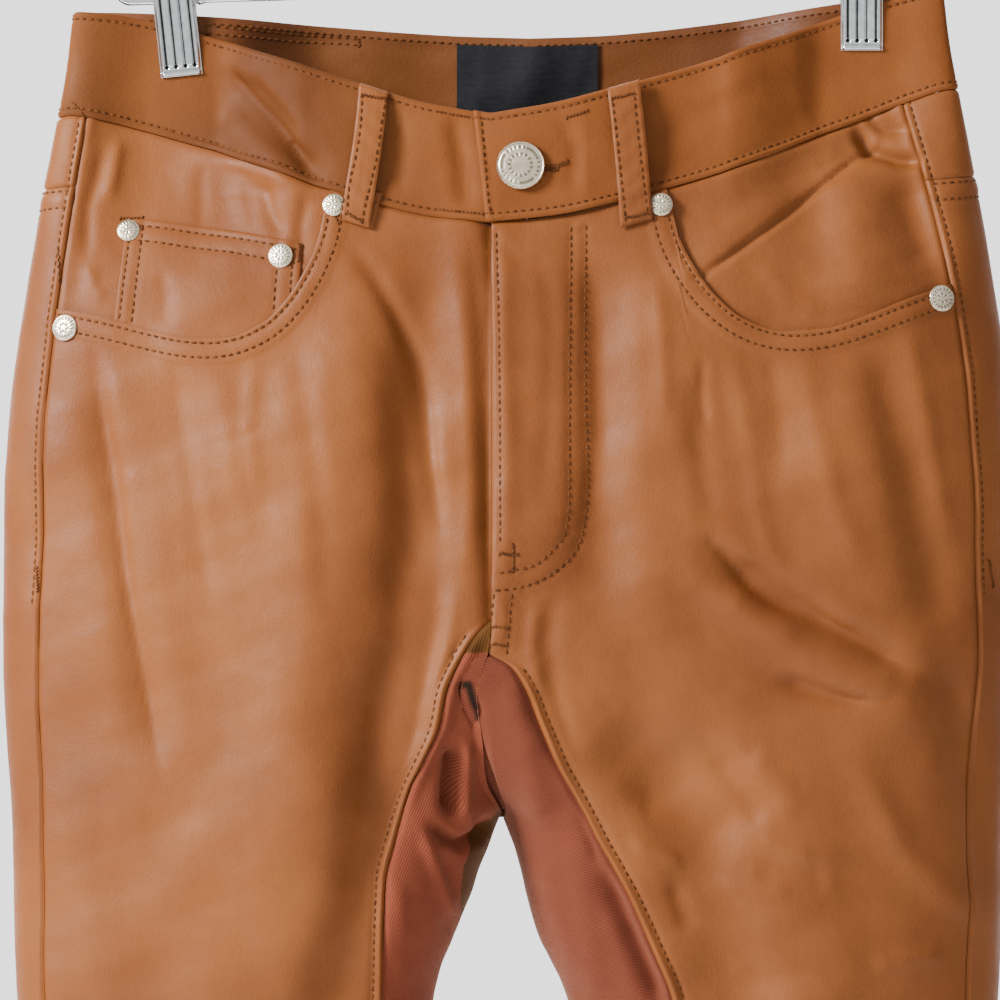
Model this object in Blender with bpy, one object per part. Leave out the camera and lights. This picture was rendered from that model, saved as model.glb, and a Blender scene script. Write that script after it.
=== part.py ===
"""Flared five-pocket jeans in faux leather, hung by the waistband from a chrome clip hanger.

Frame: the origin is the point of the hook that rests on a rail. +Z is up, the front of the
jeans faces -Y and the wearer's left leg is at +X. Heights on the cloth are given as a drop, in
millimetres below the side corners of the waistband. Sections are worked out for one leg, with
x measured outwards from the centre, and the hung garment's small lean and twist come last.
"""
import math

import bmesh
import bpy
from mathutils import Vector
from mathutils.bvhtree import BVHTree

MM = 0.001
RIGHT, LEFT = -1, 1          # the wearer's sides, also the sign of X
FRONT, BACK = -1, 1          # the sign of Y
SIDE_NAME = {RIGHT: "right", LEFT: "left"}
FACE_NAME = {FRONT: "front", BACK: "back"}

# ---- Driving sizes, in millimetres ---------------------------------------------------------
HOOK_TO_WAIST = 97.0         # from the rail down to the side corners of the waistband
LEATHER = 1.3                # wall of the faux leather panels
TWILL = 1.1                  # wall of the inner-leg panels
BAND = 2.4                   # wall of the waistband, two layers
LOOP = 1.8                   # wall of a belt loop, folded
SEAM_GAP = 0.25              # each piece stops this far short of its seam line
LAY_GAP = 0.35               # clearance under a piece that lies on another
POCKET_GAP = 0.6             # clearance between the wide layers of the pockets
ROUNDNESS = 2.5              # power of the rounded section, 2 is an ellipse
FRONT_CROTCH = {RIGHT: 262.0, LEFT: 276.0}
BACK_CROTCH = 276.0
SADDLE = 344.0               # where the legs part
MEET = 370.0                 # below this the rows of an inner-leg panel are level
TUCK_ROWS_END = 176.0        # below this the rows of the fronts and backs are level
FLY_LIFT = 1.0               # how far the lapped fly edge stands proud
LEAN = 5.5                   # rise of the left hip and drop of the right one
LEAN_AT = 185.0
TWIST_REACH = 150.0          # the twist of front and back fades out this far from the centre
CLIP_X = {RIGHT: -138.0, LEFT: 149.0}
CLIP_TILT = {RIGHT: math.radians(-6.0), LEFT: 0.0}
PINCH_HALF = 3.1             # half of the thickness of cloth between the jaws
PINCH_FLAT = 14.0            # the cloth is flat this far to each side of a clip
PINCH_REACH_IN = 56.0        # and free again this far towards the centre
PINCH_REACH_OUT = 62.0       # or towards the side
PINCH_FULL_DROP = 34.0       # the pinch is full down to here
PINCH_END_DROP = 130.0       # and gone here

LAP_END = (7.7, 2.2)         # the overlap runs this far past the centre, at top and foot
UNDER_LAP = 12.0             # and the under-lap this far, on the other side
YOKE_SIDE = 74.0             # drop of the yoke's lower seam at the side
YOKE_CENTRE = 128.0          # and at centre back
FACING_INNER = (66.0, 71.8, 77.0)   # first columns of the pocket facing
FACING_LEVEL = 126.0         # the facing's columns are measured at this drop
FACING_FOOT = 10.0           # length of the facing tucked below the scoop's edge
COIN_WALL = 1.1
COIN_TOP = (103.0, 88.0)     # drop of the coin pocket's top edge, inner and outer end
BACK_POCKET_MIDDLE = 90.0    # distance of the pocket's middle from centre back
BACK_POCKET_HALF = (66.0, 58.0)     # half of its width at the mouth and at the foot
BACK_POCKET_MOUTH = (136.0, 131.0)  # drop of the mouth, inner and outer end
BACK_POCKET_POINT = 268.0    # drop of the point at the foot
BACK_POCKET_RISE = 22.0      # rise from the point to the lower corners
LOOP_HALF = 6.3              # half of the width of a belt loop
LOOP_SLACK = 2.2             # how far its middle stands off
LOOP_PAST_SEAM = 11.5        # how far it runs below the waistband
LABEL_HALF = 30.0
LABEL_EDGES = (5.0, 37.0)    # from the waistband's top edge to the label's top and foot
LABEL_WALL = 0.7
BUTTON_HEIGHT = 3.0
RIVET_HEIGHT = 1.7
STUD_SIDES = 14

BAR_DROP = -4.5              # the bar runs this far above the side corners of the waistband
BAR_RADIUS = 1.5
BAR_RISE = math.radians(2.2)
BAR_REACH = 159.0            # from the middle to where an end starts to curl
BAR_CURL = 7.5               # radius of the curl
HOOK_RADIUS = 1.9            # radius of the hook's wire
HOOK_BEND = 19.0             # radius of the bend over the rail, at the wire's middle
JAW_HALF = 8.8
JAW_WALL = 1.5
JAW_FLUTES = 4
JAW_GROOVE = 0.55
SLEEVE_RADIUS = 4.2
SLEEVE_HALF = 6.0

# One row for each height: everything is in millimetres.
SECTIONS = (
    # drop, half_width, inner_edge, inner_radius, front_depth, back_depth
    (0.0, 184.0, -60.0, 60.0, 21.0, 20.0),
    (25.0, 187.0, -60.0, 60.0, 24.0, 22.0),
    (45.0, 190.7, -60.0, 60.0, 27.0, 24.0),
    (75.0, 196.5, -60.0, 60.0, 31.0, 29.0),
    (115.0, 203.5, -60.0, 60.0, 38.0, 37.0),
    (175.0, 211.5, -60.0, 60.0, 46.0, 48.0),
    (235.0, 213.4, -60.0, 60.0, 50.0, 56.0),
    (276.0, 213.4, -60.0, 60.0, 51.0, 58.0),
    (310.0, 212.0, -30.0, 60.0, 51.0, 58.0),
    (344.0, 209.8, 0.3, 60.0, 51.0, 57.0),
    (358.0, 209.4, 5.6, 61.0, 51.0, 56.0),
    (389.0, 209.0, 15.1, 63.0, 51.0, 55.0),
    (422.0, 207.5, 28.2, 66.0, 50.0, 54.0),
    (480.0, 202.0, 37.0, 68.0, 49.0, 51.0),
    (570.0, 193.0, 43.0, 70.0, 46.0, 47.0),
    (700.0, 198.0, 39.0, 74.0, 46.0, 46.0),
    (850.0, 211.0, 30.0, 84.0, 48.0, 48.0),
    (1060.0, 233.0, 15.0, 100.0, 52.0, 52.0),
)

# How far the middle of the front and of the back is pulled sideways.
TWIST = (
    # drop, front, back
    (0.0, -7.0, 9.0),
    (60.0, -7.0, 9.0),
    (130.0, -7.0, 6.0),
    (230.0, -7.0, -3.0),
    (262.0, -7.0, -7.0),
    (276.0, -8.4, -8.4),
    (292.0, -13.0, -13.0),
    (310.0, -11.0, -11.0),
    (330.0, -7.0, -7.0),
    (344.0, -2.0, -2.0),
    (373.0, -3.7, -3.7),
    (400.0, -5.0, -5.0),
    (422.0, -3.4, -3.4),
    (480.0, 0.0, 0.0),
)

# Edges of the waistband, by the distance from the centre.
BAND_EDGES = (
    # across, front_top, front_seam, back_top, back_seam
    (0.0, 49.5, 95.5, 15.5, 59.5),
    (28.0, 44.7, 92.3, 14.7, 59.0),
    (53.0, 37.4, 86.3, 13.0, 57.7),
    (80.0, 29.0, 78.2, 10.5, 55.7),
    (105.0, 20.9, 69.9, 8.0, 53.4),
    (130.0, 12.8, 61.0, 5.3, 50.6),
    (152.0, 6.2, 53.4, 3.0, 48.0),
    (170.0, 2.1, 47.6, 1.2, 45.8),
    (187.0, 0.0, 44.0, 0.0, 44.0),
    (200.0, 0.0, 44.0, 0.0, 44.0),
)

# Distance of the outseam from the silhouette, on the front.
OUTSEAM = (
    # drop, right, left
    (45.0, 13.0, 25.0),
    (80.0, 14.0, 22.0),
    (115.0, 15.0, 19.0),
    (210.0, 17.0, 17.0),
    (300.0, 15.0, 16.0),
    (422.0, 13.4, 14.0),
    (1060.0, 12.0, 12.0),
)

# Seam of leather and twill on the fronts, as the real distance right (-) or left (+).
FRONT_INSEAM = {
    RIGHT: (
        # drop, across
        (262.0, -7.0), (268.0, -13.0), (280.0, -20.0), (292.0, -25.0), (307.0, -28.0),
        (322.0, -34.9), (334.5, -41.2), (352.0, -46.6), (371.0, -51.0), (422.0, -52.5),
        (480.0, -58.0), (570.0, -70.0), (700.0, -70.0), (850.0, -60.0), (1060.0, -44.0),
    ),
    LEFT: (
        # drop, across
        (276.0, -8.4), (281.6, 1.0), (291.7, 7.1), (304.0, 11.8), (322.0, 19.7),
        (339.0, 29.0), (355.5, 37.8), (375.0, 48.7), (396.0, 58.4), (422.0, 68.9),
        (480.0, 77.0), (570.0, 82.0), (700.0, 74.0), (850.0, 62.0), (1060.0, 46.0),
    ),
}

# The same seam on the backs, alike on both legs.
BACK_INSEAM = (
    # drop, across
    (276.0, 0.0), (290.0, 12.0), (310.0, 22.0), (344.0, 34.0), (380.0, 46.0),
    (422.0, 56.0), (570.0, 74.0), (700.0, 72.0), (850.0, 62.0), (1060.0, 46.0),
)

# Scooped edge of the front pockets.
SCOOP = (
    # across, drop
    (71.8, 82.5), (75.5, 101.0), (81.0, 113.5), (89.0, 126.0), (101.0, 137.0),
    (117.0, 142.5), (133.0, 142.0), (150.0, 137.5), (168.0, 131.5), (192.0, 125.0),
)

# Columns of the coin pocket, by the distance from the centre.
COIN_COLUMNS = (84.5, 91.0, 99.0, 108.0, 117.0, 127.0, 137.0, 147.0, 156.0, 165.0)

# Large soft folds of the hung cloth. A negative height is a trough.
CREASES = (
    # face, x0, drop0, x1, drop1, x2, drop2, width, height
    (FRONT, -26.0, 110.0, -36.0, 200.0, -40.0, 270.0, 13.0, -5.5),
    (FRONT, -40.0, 270.0, -55.0, 345.0, -74.0, 440.0, 14.0, -6.5),
    (FRONT, -74.0, 440.0, -92.0, 520.0, -104.0, 600.0, 14.0, -4.0),
    (FRONT, -64.0, 120.0, -76.0, 230.0, -84.0, 380.0, 22.0, 4.0),
    (FRONT, -173.0, 152.0, -166.0, 195.0, -148.0, 312.0, 8.0, -3.0),
    (FRONT, -123.0, 33.0, -98.0, 56.0, -74.0, 80.0, 8.0, -3.5),
    (FRONT, 89.0, 234.0, 130.0, 262.0, 172.0, 288.0, 6.5, -4.5),
    (FRONT, 84.0, 248.0, 126.0, 276.0, 168.0, 302.0, 8.0, 3.0),
    (FRONT, 112.0, 287.0, 137.0, 295.0, 168.0, 298.0, 5.0, -2.5),
    (FRONT, 44.0, 110.0, 46.0, 200.0, 40.0, 262.0, 14.0, -3.5),
    (FRONT, 62.0, 300.0, 84.0, 360.0, 98.0, 440.0, 17.0, -4.5),
    (FRONT, 122.0, 300.0, 128.0, 380.0, 132.0, 470.0, 20.0, 4.0),
    (FRONT, -120.0, 520.0, -112.0, 600.0, -118.0, 700.0, 20.0, -3.5),
    (FRONT, 96.0, 500.0, 118.0, 600.0, 116.0, 720.0, 20.0, -3.5),
    (FRONT, -160.0, 700.0, -168.0, 860.0, -176.0, 1060.0, 22.0, -4.5),
    (FRONT, -92.0, 780.0, -88.0, 900.0, -84.0, 1060.0, 24.0, 4.0),
    (FRONT, 150.0, 720.0, 166.0, 880.0, 172.0, 1060.0, 22.0, -4.5),
    (FRONT, 84.0, 800.0, 80.0, 920.0, 82.0, 1060.0, 24.0, 4.0),
    (BACK, -66.0, 280.0, -110.0, 300.0, -160.0, 296.0, 9.0, -4.0),
    (BACK, 70.0, 284.0, 112.0, 306.0, 158.0, 300.0, 9.0, -4.0),
    (BACK, -40.0, 300.0, -78.0, 350.0, -92.0, 450.0, 15.0, -4.0),
    (BACK, 42.0, 306.0, 80.0, 360.0, 96.0, 460.0, 15.0, -4.0),
    (BACK, -120.0, 480.0, -126.0, 590.0, -118.0, 700.0, 20.0, -4.0),
    (BACK, 124.0, 470.0, 118.0, 580.0, 122.0, 690.0, 20.0, -4.0),
    (BACK, -150.0, 720.0, -162.0, 880.0, -168.0, 1060.0, 24.0, -4.5),
    (BACK, 156.0, 700.0, 160.0, 880.0, 174.0, 1060.0, 24.0, -4.5),
)

# Level rows of the panels. The first seven of each crotch list meet at the same drop.
THIGH_ROWS = (176.0, 198.0, 220.0, 242.0)
CROTCH_ROWS = {
    (RIGHT, FRONT): (262.0, 267.0, 272.0, 278.0, 286.0, 294.0, 302.0),
    (LEFT, FRONT): (276.0, 278.0, 281.0, 285.0, 290.0, 296.0, 302.0),
    (RIGHT, BACK): (276.0, 278.0, 281.0, 285.0, 290.0, 296.0, 302.0),
    (LEFT, BACK): (276.0, 278.0, 281.0, 285.0, 290.0, 296.0, 302.0),
}
LEG_ROWS = (
    316.0, 332.0, 350.0, 370.0, 396.0, 424.0, 456.0, 492.0, 530.0, 574.0, 630.0, 700.0,
    775.0, 850.0, 920.0, 990.0, 1060.0,
)

# The stem of the hook above its foot, and the jaws of a clip.
HOOK_STEM = (
    # x, z
    (0.0, -56.0), (1.0, -50.0), (4.8, -43.5), (11.0, -37.0),
)
JAW_STATIONS = (
    # height above the bar, distance of the inner face from the middle plane
    (10.0, 6.4), (4.0, 4.9), (-6.0, 4.6), (-14.0, PINCH_HALF + LAY_GAP),
    (-29.0, PINCH_HALF + LAY_GAP), (-32.0, PINCH_HALF + LAY_GAP + 0.3),
)

# Placed hardware: real distance right (-) or left (+) of the axis, drop, radius.
BUTTON = (5.2, 72.2, 10.3)
RIVETS = (
    # name, across, drop, radius, cloth it sits on
    ("rivet_inner_right", -72.7, 87.9, 4.9, "front_right"),
    ("rivet_coin_outer", -160.0, 94.2, 4.9, "coin_pocket"),
    ("rivet_coin_inner", -95.3, 108.6, 5.3, "coin_pocket"),
    ("rivet_outer_right", -186.0, 134.0, 5.6, "front_right"),
    ("rivet_inner_left", 64.0, 88.2, 4.9, "front_left"),
    ("rivet_outer_left", 182.0, 132.5, 5.6, "front_left"),
)

# ---- Colours and finishes -------------------------------------------------------------------
FINISHES = {
    # name: red, green, blue, roughness, metallic
    "leather": (0.45, 0.165, 0.052, 0.42, 0.0),
    "twill": (0.29, 0.076, 0.045, 0.85, 0.0),
    "label": (0.012, 0.012, 0.014, 0.8, 0.0),
    "stud": (0.80, 0.72, 0.62, 0.3, 1.0),
    "chrome": (0.78, 0.79, 0.80, 0.12, 1.0),
}


class Profile:
    """A smooth curve through table values that never runs past them."""

    def __init__(self, rows, column, key=0):
        self.keys = [row[key] for row in rows]
        self.values = [row[column] for row in rows]
        steps = list(zip(self.keys, self.values))
        self.chords = [(b[1] - a[1]) / (b[0] - a[0]) for a, b in zip(steps, steps[1:])]
        self.slopes = [self.chords[0]]
        for before, after in zip(self.chords, self.chords[1:]):
            level = before * after <= 0.0
            self.slopes.append(0.0 if level else 2.0 * before * after / (before + after))
        self.slopes.append(self.chords[-1])

    def __call__(self, key):
        if key <= self.keys[0]:
            return self.values[0]
        if key >= self.keys[-1]:
            return self.values[-1]
        i = max(n for n, known in enumerate(self.keys) if known <= key)
        span = self.keys[i + 1] - self.keys[i]
        t = (key - self.keys[i]) / span
        rest = 1.0 - t
        return (
            self.values[i] * (1.0 + 2.0 * t) * rest * rest
            + self.values[i + 1] * t * t * (3.0 - 2.0 * t)
            + span * t * rest * (self.slopes[i] * rest - self.slopes[i + 1] * t)
        )


half_width = Profile(SECTIONS, 1)
inner_edge = Profile(SECTIONS, 2)
inner_radius = Profile(SECTIONS, 3)
depth = {FRONT: Profile(SECTIONS, 4), BACK: Profile(SECTIONS, 5)}
twist = {FRONT: Profile(TWIST, 1), BACK: Profile(TWIST, 2)}
band_top = {FRONT: Profile(BAND_EDGES, 1), BACK: Profile(BAND_EDGES, 3)}
waist_seam = {FRONT: Profile(BAND_EDGES, 2), BACK: Profile(BAND_EDGES, 4)}
outseam_inset = {RIGHT: Profile(OUTSEAM, 1), LEFT: Profile(OUTSEAM, 2)}
front_inseam = {side: Profile(FRONT_INSEAM[side], 1) for side in (RIGHT, LEFT)}
back_inseam = Profile(BACK_INSEAM, 1)
scoop = Profile(SCOOP, 1)


def mix(low, high, share):
    """The value a share of the way from low to high."""
    return low + (high - low) * share


def smooth_step(low, high, value):
    """0 below low, 1 above high, and an S-curve between."""
    t = min(1.0, max(0.0, (value - low) / (high - low)))
    return t * t * (3.0 - 2.0 * t)


# ---- The hung cloth as a surface -------------------------------------------------------------
def twist_fade(across):
    """Share of the sideways pull that is left at a distance from the centre."""
    reach = min(1.0, abs(across) / TWIST_REACH)
    return (1.0 - reach * reach) ** 2


def untwist(face, across, drop):
    """Distance from the centre, before the sideways pull, of a measured place."""
    return across - twist[face](drop) * twist_fade(across)


def crease_height(face, across, drop):
    """Sum of the large folds at one place, outwards positive."""
    total = 0.0
    for crease_face, x0, d0, x1, d1, x2, d2, width, height in CREASES:
        if crease_face != face:
            continue
        best = None
        for ax, ad, bx, bd, start in ((x0, d0, x1, d1, 0.0), (x1, d1, x2, d2, 0.5)):
            run_x, run_d = bx - ax, bd - ad
            t = ((across - ax) * run_x + (drop - ad) * run_d) / (run_x ** 2 + run_d ** 2)
            t = min(1.0, max(0.0, t))
            gap = math.hypot(across - ax - t * run_x, drop - ad - t * run_d)
            if best is None or gap < best[0]:
                best = (gap, start + 0.5 * t)
        gap, along = best
        fade = min(1.0, 4.0 * along + 0.35) * min(1.0, 4.0 * (1.0 - along) + 0.35)
        total += height * fade * math.exp(-((gap / width) ** 2))
    return total


def pinch(side, across, drop):
    """1 where the jaws hold front and back together, 0 where the cloth is free."""
    reach = across - abs(CLIP_X[side])
    end = PINCH_REACH_OUT if reach > 0.0 else PINCH_REACH_IN
    beside = 1.0 - smooth_step(PINCH_FLAT, end, abs(reach))
    return beside * (1.0 - smooth_step(PINCH_FULL_DROP, PINCH_END_DROP, drop))


def hung(side, face, drop, across, rim, turn):
    """Place of a point of the section, with folds, pinch, twist and lean, in millimetres.

    rim and turn are 0 to 1: how far the rounding at the side and at the inner leg lets the
    cloth stand out there.
    """
    out = depth[face](drop) * rim * turn
    out += crease_height(face, side * across, drop) * min(1.0, 2.0 * rim) * min(1.0, 2.0 * turn)
    if out > PINCH_HALF:
        out = mix(out, PINCH_HALF, pinch(side, across, drop))
    x = side * across
    x += twist[face](drop) * twist_fade(x)
    lean = LEAN * (x / LEAN_AT) ** 3 * (1.0 - smooth_step(200.0, 422.0, drop))
    return Vector((x, face * out, lean - HOOK_TO_WAIST - drop))


def inner_turn(drop, across):
    """How far the inner rounding of the leg lets the cloth stand out, 0 to 1."""
    reach = (inner_edge(drop) + inner_radius(drop) - across) / inner_radius(drop)
    return math.sqrt(1.0 - min(1.0, max(0.0, reach)) ** 2)


def leg_start(drop):
    """Where the rounded outer section begins: the centre, or the inner edge of the leg."""
    return max(0.0, inner_edge(drop))


def around_of(drop, across):
    """Share of the way round from centre front (0) to the side (1), at a distance across."""
    start = leg_start(drop)
    share = (across - start) / (half_width(drop) - start)
    angle = math.asin(min(1.0, abs(share)) ** (0.5 * ROUNDNESS))
    return math.copysign(angle / (0.5 * math.pi), share)


def skin(side, drop, around):
    """Cloth surface: around is 0 at centre front, 1 at the side and 2 at centre back."""
    face, share = (FRONT, around) if around <= 1.0 else (BACK, 2.0 - around)
    angle = 0.5 * math.pi * share
    start = leg_start(drop)
    reach = math.copysign(abs(math.sin(angle)) ** (2.0 / ROUNDNESS), share)
    across = start + (half_width(drop) - start) * reach
    rim = abs(math.cos(angle)) ** (2.0 / ROUNDNESS)
    return hung(side, face, drop, across, rim, inner_turn(drop, abs(across)))


def turn_of(drop, across):
    """Angle round the inner leg of a distance across. 0 is the inner edge."""
    radius = inner_radius(drop)
    reach = (inner_edge(drop) + radius - across) / radius
    return math.acos(min(1.0, reach)) if reach > 0.0 else 0.5 * math.pi - reach


def inner_skin(side, drop, turn):
    """Cloth surface round the inner leg: turn is an angle, above 0 on the front."""
    face = FRONT if turn >= 0.0 else BACK
    radius = inner_radius(drop)
    angle = abs(turn)
    if angle < 0.5 * math.pi:
        across = inner_edge(drop) + radius * (1.0 - math.cos(angle))
        stand = math.sin(angle)
    else:
        across = inner_edge(drop) + radius * (1.0 + angle - 0.5 * math.pi)
        stand = 1.0
    start = leg_start(drop)
    share = min(1.0, abs(across - start) / (half_width(drop) - start))
    rim = (1.0 - share ** ROUNDNESS) ** (1.0 / ROUNDNESS)
    return hung(side, face, drop, across, rim, stand)


def surface_point(surface, side, drop, place):
    """A point of a surface and the direction that points out of the cloth there."""
    small, fall = 0.002, 0.5
    along = surface(side, drop, place + small) - surface(side, drop, place - small)
    down = surface(side, drop + fall, place) - surface(side, drop - fall, place)
    return surface(side, drop, place), (down.cross(along) * side).normalized()


# ---- Seam lines -------------------------------------------------------------------------------
def edge_drop(edge, around):
    """Drop of a waistband edge, given by tables for front and back, at a place round it."""
    face, share = (FRONT, around) if around <= 1.0 else (BACK, 2.0 - around)
    reach = abs(math.sin(0.5 * math.pi * share)) ** (2.0 / ROUNDNESS)
    drop = edge[face](reach * half_width(0.0))
    for _ in range(4):
        drop = edge[face](half_width(drop) * reach)
    return drop


def yoke_seam_at(around):
    """Drop of the yoke's lower seam: level at the side, dipping to centre back."""
    if around <= 1.0:
        return YOKE_SIDE
    reach = math.sin(0.5 * math.pi * (2.0 - around)) ** (2.0 / ROUNDNESS)
    return mix(YOKE_CENTRE, YOKE_SIDE, reach)


def panel_reach(side, drop):
    """Distance from the centre to the outseam, which lies on the front."""
    return half_width(drop) - outseam_inset[side](drop)


def inseam_across(side, face, drop):
    """Distance from the centre of the inner edge of a leather panel."""
    if face == FRONT:
        if drop <= FRONT_CROTCH[side]:
            return 0.0
        return max(0.0, side * untwist(FRONT, front_inseam[side](drop), drop))
    return back_inseam(drop)


# ---- Building closed walls --------------------------------------------------------------------
def finish(name):
    """The material of one name, made once."""
    material = bpy.data.materials.get(name)
    if material is None:
        red, green, blue, roughness, metallic = FINISHES[name]
        material = bpy.data.materials.new(name)
        material.use_nodes = True
        shader = material.node_tree.nodes["Principled BSDF"]
        shader.inputs["Base Color"].default_value = (red, green, blue, 1.0)
        shader.inputs["Roughness"].default_value = roughness
        shader.inputs["Metallic"].default_value = metallic
        material.diffuse_color = (red, green, blue, 1.0)
    return material


def add_object(name, points, faces, material, smooth_angle=50.0):
    """A mesh object from points in millimetres. Its faces are turned outwards."""
    mesh = bpy.data.meshes.new(name)
    mesh.from_pydata([point * MM for point in points], [], faces)
    shape = bmesh.new()
    shape.from_mesh(mesh)
    bmesh.ops.triangulate(shape, faces=shape.faces[:], quad_method="FIXED")
    bmesh.ops.recalc_face_normals(shape, faces=shape.faces[:])
    if shape.calc_volume(signed=True) < 0.0:
        bmesh.ops.reverse_faces(shape, faces=shape.faces[:])
    shape.to_mesh(mesh)
    shape.free()
    mesh.shade_smooth()
    mesh.set_sharp_from_angle(angle=math.radians(smooth_angle))
    mesh.materials.append(finish(material))
    item = bpy.data.objects.new(name, mesh)
    bpy.context.scene.collection.objects.link(item)
    return item


def wall(name, rows, thickness, material):
    """A closed wall of cloth from rows of (point, outward direction, lift)."""
    height, width = len(rows), len(rows[0])
    points = []
    for depth_in in (0.0, thickness):
        for row in rows:
            points += [point + normal * (lift - depth_in) for point, normal, lift in row]
    inside = height * width
    faces = []
    for i in range(height - 1):
        for j in range(width - 1):
            a = i * width + j
            for corners in ((a, a + 1, a + width + 1), (a, a + width + 1, a + width)):
                faces.append(corners)
                faces.append(tuple(inside + corner for corner in reversed(corners)))
    rim = list(range(width))
    rim += [i * width + width - 1 for i in range(1, height)]
    rim += [(height - 1) * width + j for j in range(width - 2, -1, -1)]
    rim += [i * width for i in range(height - 2, 0, -1)]
    for start, end in zip(rim, rim[1:] + rim[:1]):
        faces.append((end, start, inside + start, inside + end))
    return add_object(name, points, faces, material)


def lathe_rings(name, rings, material, smooth_angle=50.0):
    """A closed solid from rings of equal length; the first and last close on their middle."""
    sides = len(rings[0])
    points = [point for ring in rings for point in ring]
    faces = []
    for i in range(len(rings) - 1):
        for j in range(sides):
            k = (j + 1) % sides
            faces.append((i * sides + j, i * sides + k, (i + 1) * sides + k, (i + 1) * sides + j))
    for ring, first in ((rings[0], 0), (rings[-1], (len(rings) - 1) * sides)):
        middle = sum(ring, Vector()) / sides
        points.append(middle)
        for j in range(sides):
            faces.append((first + j, first + (j + 1) % sides, len(points) - 1))
    return add_object(name, points, faces, material, smooth_angle)


def wire(name, path, radius, sides=10):
    """A round wire along a path in the X-Z plane."""
    rings = []
    for i, point in enumerate(path):
        ahead = path[min(i + 1, len(path) - 1)] - path[max(i - 1, 0)]
        side_way = Vector((ahead.z, 0.0, -ahead.x)).normalized()
        ring = []
        for j in range(sides):
            angle = 2.0 * math.pi * j / sides
            offset = side_way * math.cos(angle) + Vector((0.0, 1.0, 0.0)) * math.sin(angle)
            ring.append(point + offset * radius)
        rings.append(ring)
    return lathe_rings(name, rings, "chrome", 60.0)


class Seat:
    """The faces of the pieces already built, for what lies on them."""

    def __init__(self, names):
        points, triangles = [], []
        for name in names:
            mesh = bpy.data.objects[name].data
            first = len(points)
            points += [vertex.co.copy() for vertex in mesh.vertices]
            triangles += [[first + n for n in face.vertices] for face in mesh.polygons]
        self.tree = BVHTree.FromPolygons(points, triangles)

    def on(self, point, normal):
        """The place on the cloth under a point, in millimetres."""
        above, deepest = 12.0, 16.0
        hit = self.tree.ray_cast((point + normal * above) * MM, -normal, deepest * MM)[0]
        return point if hit is None else hit / MM


# ---- The garment's pieces ---------------------------------------------------------------------
def make_waistband(side):
    """Half of the waistband, from centre back round the side to the front overlap."""
    reach = abs(CLIP_X[side])
    stops = [reach + PINCH_FLAT, reach, reach - PINCH_FLAT, 108.0, 92.0, 76.0, 60.0, 46.0]
    flank = [around_of(20.0, across) for across in stops]
    spots = [2.0, 2.0 - around_of(20.0, 22.0), 2.0 - around_of(20.0, 42.0)]
    spots += [2.0 - around for around in reversed(flank[:-2])]
    spots += [1.2, 1.1, 1.03, 0.97, 0.9, 0.8] + flank
    rows = []
    for share in (0.0, 0.34, 0.67, 1.0):
        end = mix(*LAP_END, share) if side == LEFT else UNDER_LAP
        end_around = -around_of(60.0, end)
        row = []
        for around in spots + [0.08, 0.0, end_around]:
            drop = mix(edge_drop(band_top, around), edge_drop(waist_seam, around) - SEAM_GAP, share)
            place = around
            if around == 2.0:
                place = 2.0 - around_of(drop, SEAM_GAP)
            point, normal = surface_point(skin, side, drop, place)
            lap = 0.0
            if side == LEFT:
                lap = (BAND + 0.5) * (1.0 - smooth_step(0.08, 0.17, around))
            row.append((point, normal, lap))
        rows.append(row)
    wall(f"waistband_{SIDE_NAME[side]}", rows, BAND, "leather")


def front_columns(side):
    """Columns of a front: share of the width and drop of the top end."""
    columns = []
    for across in (0.0, 10.0, 22.0, 36.0, 50.0, 62.0):
        top = waist_seam[FRONT](across) + SEAM_GAP
        columns.append((across / panel_reach(side, top), top))
    for across, drop in SCOOP[:-1]:
        columns.append((across / panel_reach(side, drop), drop))
    if columns[-1][0] > 0.95:
        columns.pop()
    columns.append((1.0, scoop(panel_reach(side, FACING_LEVEL))))
    return columns


def make_front(side):
    """A front, cut away at the pocket's scoop, lapped at the fly and open at the hem."""
    columns = front_columns(side)
    tuck_steps = 5
    drops = []
    for step in range(tuck_steps):
        drops.append([mix(top, TUCK_ROWS_END, step / tuck_steps) for _, top in columns])
    level = THIGH_ROWS + ((260.0,) if side == LEFT else ()) + CROTCH_ROWS[side, FRONT] + LEG_ROWS
    drops += [[drop] * len(columns) for drop in level]
    rows = []
    for row_drops in drops:
        row = []
        for (share, _), drop in zip(columns, row_drops):
            inner = inseam_across(side, FRONT, drop) + SEAM_GAP
            across = mix(inner, panel_reach(side, drop) - SEAM_GAP, share)
            point, normal = surface_point(skin, side, drop, around_of(drop, across))
            lift = 0.0
            if side == LEFT and drop < FRONT_CROTCH[LEFT]:
                lift = FLY_LIFT * (1.0 - smooth_step(4.0, 14.0, across))
            row.append((point, normal, lift))
        rows.append(row)
    wall(f"front_{SIDE_NAME[side]}", rows, LEATHER, "leather")


def coin_line(across):
    """Drop of the coin pocket's top edge. It rises towards the side."""
    share = (across - COIN_COLUMNS[0]) / (COIN_COLUMNS[-1] - COIN_COLUMNS[0])
    return mix(*COIN_TOP, share)


def facing_across(side, stop, drop):
    """Distance from the centre of a column of the facing, which widens downwards."""
    return stop * (panel_reach(side, drop) - SEAM_GAP) / panel_reach(side, FACING_LEVEL)


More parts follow.
